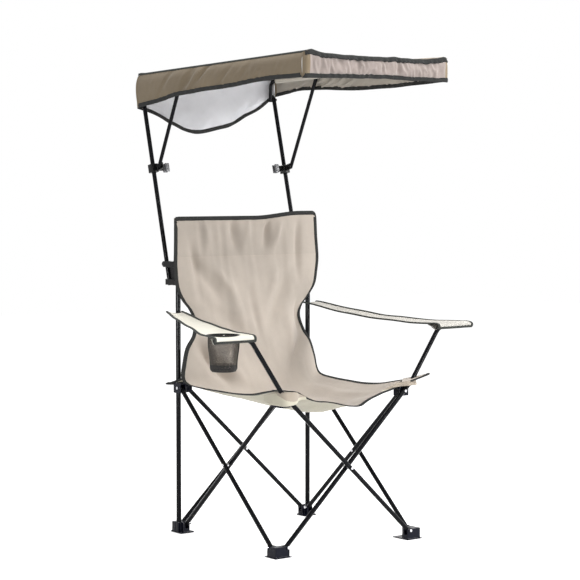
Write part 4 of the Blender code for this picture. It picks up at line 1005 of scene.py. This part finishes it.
def pinch_ring(grid, first):
    """Slide the nearest points of a grid onto the cup's circle, so that the hole's edge is round."""
    moved = grid.copy()
    for i in range(first, grid.shape[0]):
        for j in range(grid.shape[1]):
            away = grid[i, j, :2] - CUP_CENTRE
            far = np.hypot(*away)
            if abs(far - CUP_MOUTH_R) < HOLE_SNAP:
                moved[i, j, :2] = CUP_CENTRE + away / far * CUP_MOUTH_R
    return moved


def in_cup_hole(point):
    """Whether a point of the armrest lies over the cup's mouth."""
    return np.hypot(*(point[:2] - CUP_CENTRE)) < CUP_MOUTH_R - CUP_EDGE


def armrest(side, across):
    """An armrest: a sleeve round the arm tube's level end, then one layer back to the upright."""
    front_y = FRONT_TUBE_Y[side] - ARM_LIP
    run = UPRIGHT_Y + ARM_PAST_UPRIGHT - front_y
    sleeve_path = through(ARM_SLEEVE_PROFILE, (len(ARM_SLEEVE_PROFILE) - 1) * ARM_SLEEVE_STEPS + 1)
    profile = [(ARM_LIP + behind, ARM_TUBE_Z + up) for behind, up in sleeve_path]
    start = profile[-1][0]
    for k in range(1, ARM_STEPS + 1):
        behind = start + (run - start) * k / ARM_STEPS
        profile.append((behind, arm_height(behind) - ARM_REAR_DROP[side] * ramp(behind, run * 0.45, run)))

    def point(down, over):
        i = round(down * (len(profile) - 1))
        behind, z = profile[i]
        on_top = ramp(i, ARM_SLEEVE_EDGE, ARM_SLEEVE_EDGE + 12)
        x = arm_x(behind / run, over)
        droop = ARM_DROOP * (1 - (2 * over - 1) ** 2) * min(1.0, behind / run * 2.5) * on_top
        wave = ARM_WAVE * rough(x * 18, behind * 12, across * 3)
        curl = ARM_CURL * rough(over * 2, behind * 9, across * 9) * on_top
        return across * x, front_y + behind, z - droop + wave + curl

    grid = grid_over(len(profile) - 1, ARM_COLUMNS, point)
    name, body = f"armrest_panel_{side}", f"armrest_{side}"
    if side == "right":
        grid = pinch_ring(grid, len(sleeve_path))
        made = pierced_cloth(name, grid, CREAM[side], body, ARM_CLOTH, in_cup_hole)
    else:
        # The left armrest takes its cream darkened as painted shade
        made = cloth(name, grid, [CREAM[side]], body, ARM_CLOTH, folds=False)
    with_arm(made, side, across)
    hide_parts(f"armrest_{side}")
    top = grid[ARM_SLEEVE_EDGE:]
    name = f"armrest_tape_{side}"
    tape = edge_tape(name, top, three_edges(top, 0), ARM_TAPE, body, folds=False, finish=EDGE_TAPE)
    with_arm(tape, side, across)
    declare(grid, "stretched")


# Cup holder: a net pocket under a bound hole

def net_piece(name, profile, top, around, finish, strand):
    """A pocket of net: a turned, slightly square shape whose edges become strands."""
    points = []
    for i, (radius, drop) in enumerate(profile):
        for k in range(around):
            turn = 2 * math.pi * (k + 0.5 * (i % 2)) / around
            c, s = math.cos(turn), math.sin(turn)
            reach = radius * (1 + 0.05 * math.cos(4 * turn + 0.6) * min(1.0, drop / CUP_DEPTH))
            reach += 0.0012 * rough(c * 2, s * 2, drop * 30)
            points.append((CUP_CENTRE[0] + reach * c, CUP_CENTRE[1] + reach * s, top - drop))
    faces = []
    for i in range(len(profile) - 1):
        for k in range(around):
            a, b = i * around + k, i * around + (k + 1) % around
            c, d = a + around, b + around
            faces += [(a, d, b), (a, c, d)] if i % 2 else [(a, c, b), (b, c, d)]
    net = mesh_object(name, points, faces, finish)
    wires = net.modifiers.new("net", "WIREFRAME")
    wires.thickness = strand
    wires.use_even_offset = False
    with_arm(net, "right", -1)
    return net


def cup_holder():
    """The net with its darker band, three hoops of tape and two seams."""
    body = "armrest_right"
    rest = arm_height(CUP_BEHIND + ARM_LIP)
    top = rest - CUP_BELOW_REST
    wall = []
    for k in range(CUP_ROWS + 1):
        share = k / CUP_ROWS
        tuck = CUP_TUCK * max(0.0, share - CUP_TUCK_FROM) / (1 - CUP_TUCK_FROM)
        radius = CUP_MOUTH_R - CUP_EDGE + (CUP_FLOOR_R - CUP_MOUTH_R) * share
        radius += 0.0016 * math.sin(share * math.pi * 2) - tuck * tuck / CUP_TUCK
        wall.append((radius, CUP_DEPTH * share))
    bottom = [(CUP_FLOOR_R * ring, CUP_DEPTH + 0.002 * (1 - ring)) for ring in (0.80, 0.6, 0.4, 0.2)]
    net = net_piece("cup_net", wall + bottom, top, CUP_MESHES, NET, NET_STRAND)
    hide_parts("cup_holder")
    lower = [(radius + 0.0009, drop) for radius, drop in wall if drop >= CUP_DEPTH * CUP_BAND_FROM]
    net_piece("cup_net_band", lower, top, CUP_BAND_MESHES, NET_DARK, BAND_STRAND)
    turns = [2 * math.pi * k / 48 for k in range(48)]
    spokes = [np.array((math.cos(turn), math.sin(turn), 0.0)) for turn in turns]
    up = [np.array((0, 0, 1.0))] * len(turns)
    hoops = (
        ("cup_rim_tape", CUP_MOUTH_R - CUP_EDGE, 0.0008, (0.0100, 0.0036), spokes, up),
        ("cup_top_tape", CUP_MOUTH_R, -0.004, (0.0080, 0.0022), up, spokes),
        ("cup_floor_tape", wall[-1][0] + 0.0004, -CUP_DEPTH - 0.0015, (0.0050, 0.0026), up, spokes),
    )
    for name, radius, lift, size, inward, out in hoops:
        path = [np.array((*CUP_CENTRE, rest + lift)) + spoke * radius for spoke in spokes]
        hoop = band(name, path, inward, out, size, BINDING, body, closed=True, folds=False)
        with_arm(hoop, "right", -1)
    for k, turn in enumerate(CUP_SEAM_TURNS):
        spoke = np.array((math.cos(turn), math.sin(turn), 0.0))
        path = [np.array((*CUP_CENTRE, top - drop)) + spoke * (radius + 0.001) for radius, drop in wall[::3]]
        points, faces = tube_mesh(path, CUP_SEAM_R, 8)
        seam = mesh_object(f"cup_side_seam_{k + 1}", points, faces, BINDING)
        with_arm(seam, "right", -1)


# Canopy

def roof_height(x, y):
    """The roof's height: level across the rails, slack between them, and rising to the front."""
    top = PIVOT_Z + RAIL_RISE + RAIL_R + ROOF_ABOVE_RAIL
    rise = (PIVOT_Y - y) / (ROOF_BACK - ROOF_FRONT) * ROOF_RISE
    slack = max(0.0, 1 - (x / (RAIL_X - 2 * RAIL_R)) ** 2)
    at_front = ramp(-y, -ROOF_FRONT - FRONT_LEVEL_REACH, -ROOF_FRONT)
    slack += (max(0.0, 1 - (x / RAIL_X) ** 6) * FRONT_LEVEL_SAG - slack) * at_front
    edge = max(0.0, abs(x) - RAIL_X) / (ROOF_HALF - RAIL_X)
    ripple = ROOF_RIPPLE * rough(x * 9, y * 5, 2.0)
    return top + rise - ROOF_SAG * slack - ROOF_EDGE_DROP * edge**2 + ripple * slack


def roof_point(down, over):
    """A point of the roof, in columns that crowd towards its sides."""
    x = math.sin((2 * over - 1) * math.pi / 2) * (ROOF_HALF - ROOF_SHOULDER)
    y = ROOF_BACK - ROOF_SHOULDER + (ROOF_FRONT - ROOF_BACK + ROOF_SHOULDER) * down
    return x, y, roof_height(x, y)


def shoulder(down):
    """How far a wall's top is drawn in over the roof's rounded edge."""
    return ROOF_SHOULDER * max(0.0, 1 - down / SHOULDER_SHARE) ** 2


def side_wall_grid(side, across):
    """A side wall that bellies out over the rail and hangs in soft drag folds."""
    drops = smooth_table(WALL_DROPS[side])
    back, front = ROOF_BACK - ROOF_SHOULDER * 0.3, ROOF_FRONT + FRONT_CORNER

    def point(down, over):
        y = back + (front - back) * over
        top = roof_height(ROOF_HALF - ROOF_SHOULDER, y)
        ends = 1 - (2 * over - 1) ** 8
        belly = 0.0060 * math.sin(math.pi * down) * (0.45 + 0.55 * ends)
        drag = 0.0170 * max(0.0, rough(y * 26 - down * 2.6, down * 0.7, across * 4))
        drag *= math.exp(-(((over - 0.42) / 0.26) ** 2)) * math.sin(math.pi * min(1.0, down * 1.1))
        fine = 0.0030 * rough(y * 60 - down * 3, down * 3, across) * down
        hem = 0.0022 * rough(y * 9, 5.0, across)
        bulge = 0.0040 * math.sin(math.pi * min(1.0, down * 1.2)) * (1 - ramp(over, 0.0, 0.03))
        x = across * (ROOF_HALF + belly - (drag + fine) * ends - shoulder(down))
        return x, y + bulge, top - drops(over) * down + hem * down * ends

    return grid_over(18, 130, point)


def front_wall_grid():
    """The front valance, gathered into upright creases."""
    drops = smooth_table(WALL_DROPS["front"])

    def point(down, over):
        share = 2 * over - 1
        x = ROOF_HALF * share
        ends = 1 - share**8
        top = roof_height((ROOF_HALF - ROOF_SHOULDER) * share, ROOF_FRONT)
        top += 0.0022 * rough(x * 26, 3, 3) * ends
        bottom = roof_height(ROOF_HALF, ROOF_FRONT) - drops(share) + 0.0016 * rough(x * 20, 8, 3)
        swell = math.sin(math.pi * down) ** 0.7
        lean = x + 0.024 * down * rough(x * 7, 1, 1)
        crease = rough(lean * 30, down * 1.0, 0.7) + 0.7 * rough(lean * 66, down * 1.9, 4.1)
        y = ROOF_FRONT - 0.0060 * (1 - abs(crease) * 2.2) * swell * ends - 0.004 * swell * ends
        inset = max(0.0, FRONT_CORNER - (ROOF_HALF - abs(x)))
        y += FRONT_CORNER - math.sqrt(FRONT_CORNER**2 - inset**2)
        return x - math.copysign(shoulder(down), x) * (1 - ends), y, top + (bottom - top) * down

    return grid_over(20, 170, point)


def rear_wall_grid():
    """The rear wall, whose hem hangs in a deep curve."""
    drops = smooth_table(WALL_DROPS["rear"])

    def point(down, over):
        share = 2 * over - 1
        x = ROOF_HALF * share
        top = roof_height((ROOF_HALF - ROOF_SHOULDER) * share, ROOF_BACK)
        bottom = roof_height(ROOF_HALF, ROOF_BACK) - drops(share)
        wave = 0.0140 * rough(x * 9, down * 1.6, 8) + 0.0065 * rough(x * 26 + down * 2, down * 4, 2)
        belly = 0.004 * math.sin(math.pi * min(1.0, down * 1.3))
        y = ROOF_BACK - shoulder(down) + (wave - 0.010 * down**2) * (1 - share**6) * down + belly
        return x, y, top + (bottom - top) * down

    return grid_over(32, 84, point)


def rail_sleeve(side, across):
    """The cloth sleeve sewn along a roof edge, which a canopy rail runs in."""
    radius = RAIL_R + 0.0022
    back, front = PIVOT_Y - 0.034, ROOF_FRONT + 0.020

    def point(down, over):
        y = back + (front - back) * down
        middle_z = PIVOT_Z + RAIL_RISE + (PIVOT_Y - y) / (ROOF_BACK - ROOF_FRONT) * ROOF_RISE
        turn = math.radians(35) + math.radians(290) * over
        reach = radius + 0.0008 * rough(y * 40, turn, across)
        return across * RAIL_X + math.sin(turn) * reach, y, middle_z + math.cos(turn) * reach

    grid = grid_over(60, 14, point)
    name, body = f"rail_sleeve_{side}", f"canopy_{side}"
    made = cloth(name, grid, [RAIL_CLOTH], body, ROOF_CLOTH * 0.8, folds=False)
    declare(grid, "stretched")


def wall(side, grid, outer, lining, outward, held="hung", top_width=TOP_TAPE_WIDTH, top_finish=None):
    """A wall of the canopy with its hem and its upper tape. Outward is the way that it faces."""
    middle = normals(grid)[grid.shape[0] // 2, grid.shape[1] // 2]
    finishes = [outer, lining] if middle[:2].dot(outward) > 0 else [lining, outer]
    made = cloth(f"canopy_wall_{side}", grid, finishes, ROOF_BODY, ROOF_CLOTH)
    if side == "front":
        # The valance's ends take the khaki darkened as painted shade, where they turn the corners
        made.data.materials.append(SHADED_KHAKI)
        for face in made.data.polygons:
            if abs(face.center[0]) > ROOF_HALF - SHADED_CORNER:
                face.material_index = 2
    rows, columns = grid.shape[:2]
    for edge, row, size, finish in (
        ("hem", rows - 1, (HEM_WIDTH, ROOF_TAPE_THICK), BINDING),
        ("top_tape", 0, (top_width, TOP_TAPE_THICK), top_finish or EDGE_TAPE),
    ):
        route = [(row, j) for j in range(columns)]
        edge_tape(f"canopy_{edge}_{side}", grid, route, size, ROOF_BODY, finish=finish)
    declare(grid, held)


def canopy():
    """The roof with its four walls, the rails' sleeves and the bands at the rear corners."""
    # Outside, the roof and the side and rear walls take the khaki darkened as painted shade, and the valance
    # a lighter colour as painted light
    roof = grid_over(84, 64, roof_point)
    # Under the roof, the lining is lightened as painted light from below
    made = cloth("canopy_roof", roof, [SHADED_KHAKI, LIT_ROOF_LINING], ROOF_BODY, ROOF_CLOTH)
    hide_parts("canopy_cloth")
    declare(roof, "stretched")
    side_walls = [(side, side_wall_grid(side, across), across) for side, across in SIDES]
    for side, grid, across in side_walls:
        # Inside, the side walls take the lining darkened as painted shade
        wall(side, grid, SHADED_KHAKI, SHADED_SIDE_LINING, (across, 0))
    wall("front", front_wall_grid(), LIT_VALANCE, LINING, (0, -1), "gathered", FRONT_TAPE_WIDTH, BINDING)
    wall("rear", rear_wall_grid(), SHADED_KHAKI, LINING, (0, 1))
    for side, across in SIDES:
        rail_sleeve(side, across)
    for side, grid, _ in side_walls:
        path = grid[1:, 0]
        inward = [np.array((0.0, -1.0, 0.0))] * len(path)
        out = [np.array((1.0, 0.0, 0.0))] * len(path)
        band(f"canopy_corner_{side}", path, inward, out, CORNER_BAND, SHADED_KHAKI, ROOF_BODY)


# Floor, light and camera

def area_light(name, place, target, size, power, tall=None):
    """A round lamp, or an upright softbox if it is given a height, turned towards a place."""
    data = bpy.data.lights.new(name, "AREA")
    data.shape = "RECTANGLE" if tall else "DISK"
    data.size = size
    if tall:
        data.size_y = tall
    data.energy = power
    lamp = placed(name, data)
    lamp.location = place
    lamp.rotation_euler = (Vector(target) - Vector(place)).to_track_quat("-Z", "Y").to_euler()
    return lamp


def seen_rays(tree):
    """A node whose first output is one for the rays that see the background."""
    rays = add_node(tree, "LightPath")
    total, output = rays, BACKDROP_RAYS[0]
    for name in BACKDROP_RAYS[1:]:
        total = add_node(tree, "Math", [(0, total, output), (1, rays, name)], operation="MAXIMUM")
        output = 0
    return total


def pale_world():
    """Even light from all round, which the camera and gloss see as white."""
    world = bpy.data.worlds.new("studio")
    bpy.context.scene.world = world
    world.use_nodes = True
    tree = world.node_tree
    fill = tree.nodes["Background"]
    fill.inputs["Color"].default_value = (1, 1, 1, 1)
    fill.inputs["Strength"].default_value = WORLD_FILL
    white = add_node(tree, "Background", Color=(1, 1, 1, 1))
    mix = add_node(tree, "MixShader", [(0, seen_rays(tree), 0), (1, fill, 0), (2, white, 0)])
    feed(tree, tree.nodes["World Output"], "Surface", mix, 0)


def floor():
    """A pale floor. What sees the background also sees it glow, so that only the shadow is grey."""
    finish, main = shader("floor", (0.92, 0.92, 0.92), 0.9, specular=0.0)
    tree = finish.node_tree
    strength = scaled(tree, seen_rays(tree), 0, FLOOR_GLOW)
    glow = add_node(tree, "Emission", [("Strength", strength, 0)], Color=(1, 1, 1, 1))
    both = add_node(tree, "AddShader", [(0, main, 0), (1, glow, 0)])
    feed(tree, tree.nodes["Material Output"], "Surface", both, 0)
    data = bpy.data.meshes.new("floor")
    corners = [(x * FLOOR_REACH, y * FLOOR_REACH, 0) for x, y in ((-1, -1), (1, -1), (1, 1), (-1, 1))]
    data.from_pydata(corners, [], [(0, 1, 2, 3)])
    data.materials.append(finish)
    placed("floor", data)


def place_camera():
    """The camera as it was fitted to the photo."""
    data = bpy.data.cameras.new("camera")
    data.lens = CAMERA_LENS
    made = placed("camera", data)
    made.location = CAMERA_PLACE
    made.rotation_euler = [math.radians(turn) for turn in CAMERA_TURN]
    bpy.context.scene.camera = made


sling()
for side, across in SIDES:
    sleeve(side, across)
for side, across in SIDES:
    pocket(side, across)
for side, across in SIDES:
    x = across * 0.250
    rear_corners = ((x, 0.226, 0.470), (x * 1.03, 0.238, 0.486), (across * 0.292, 0.270, 0.462))
    tab(f"rear_tab_{side}", rear_corners, f"rear_hub_{side}", 0.002)
front_corners = ((0.214, -0.262, 0.478), (0.268, -0.212, 0.488), (0.308, -0.286, 0.500))
tab("front_tab_left", front_corners, "front_hub_left")
for side, across in SIDES:
    armrest(side, across)
cup_holder()
canopy()

place_camera()
pale_world()
floor()
area_light("key", (2.9, -3.1, 2.3), (0, 0, 0.8), 1.0, 102)
area_light("front", (0.1, -2.0, 3.3), (0, -0.1, 0.5), 1.2, 44)
# Two softboxes add only gloss, for the highlights along the tubes
left_box = area_light("gloss_left", (-4.0, -1.6, 1.0), (0, 0, 1.0), 0.9, 260, SOFTBOX_TALL)
right_box = area_light("gloss_right", (1.2, -4.8, 1.0), (0, 0, 1.0), 0.6, 180, SOFTBOX_TALL)
for softbox in (left_box, right_box):
    softbox.visible_diffuse = False
area_light("top", (0.2, 0.3, 3.6), (0, 0, 0.6), 2.2, 42)
area_light("back", (1.2, 3.4, 2.2), (0, 0, 0.9), 0.9, 24)
bpy.context.scene.view_settings.view_transform = "Standard"
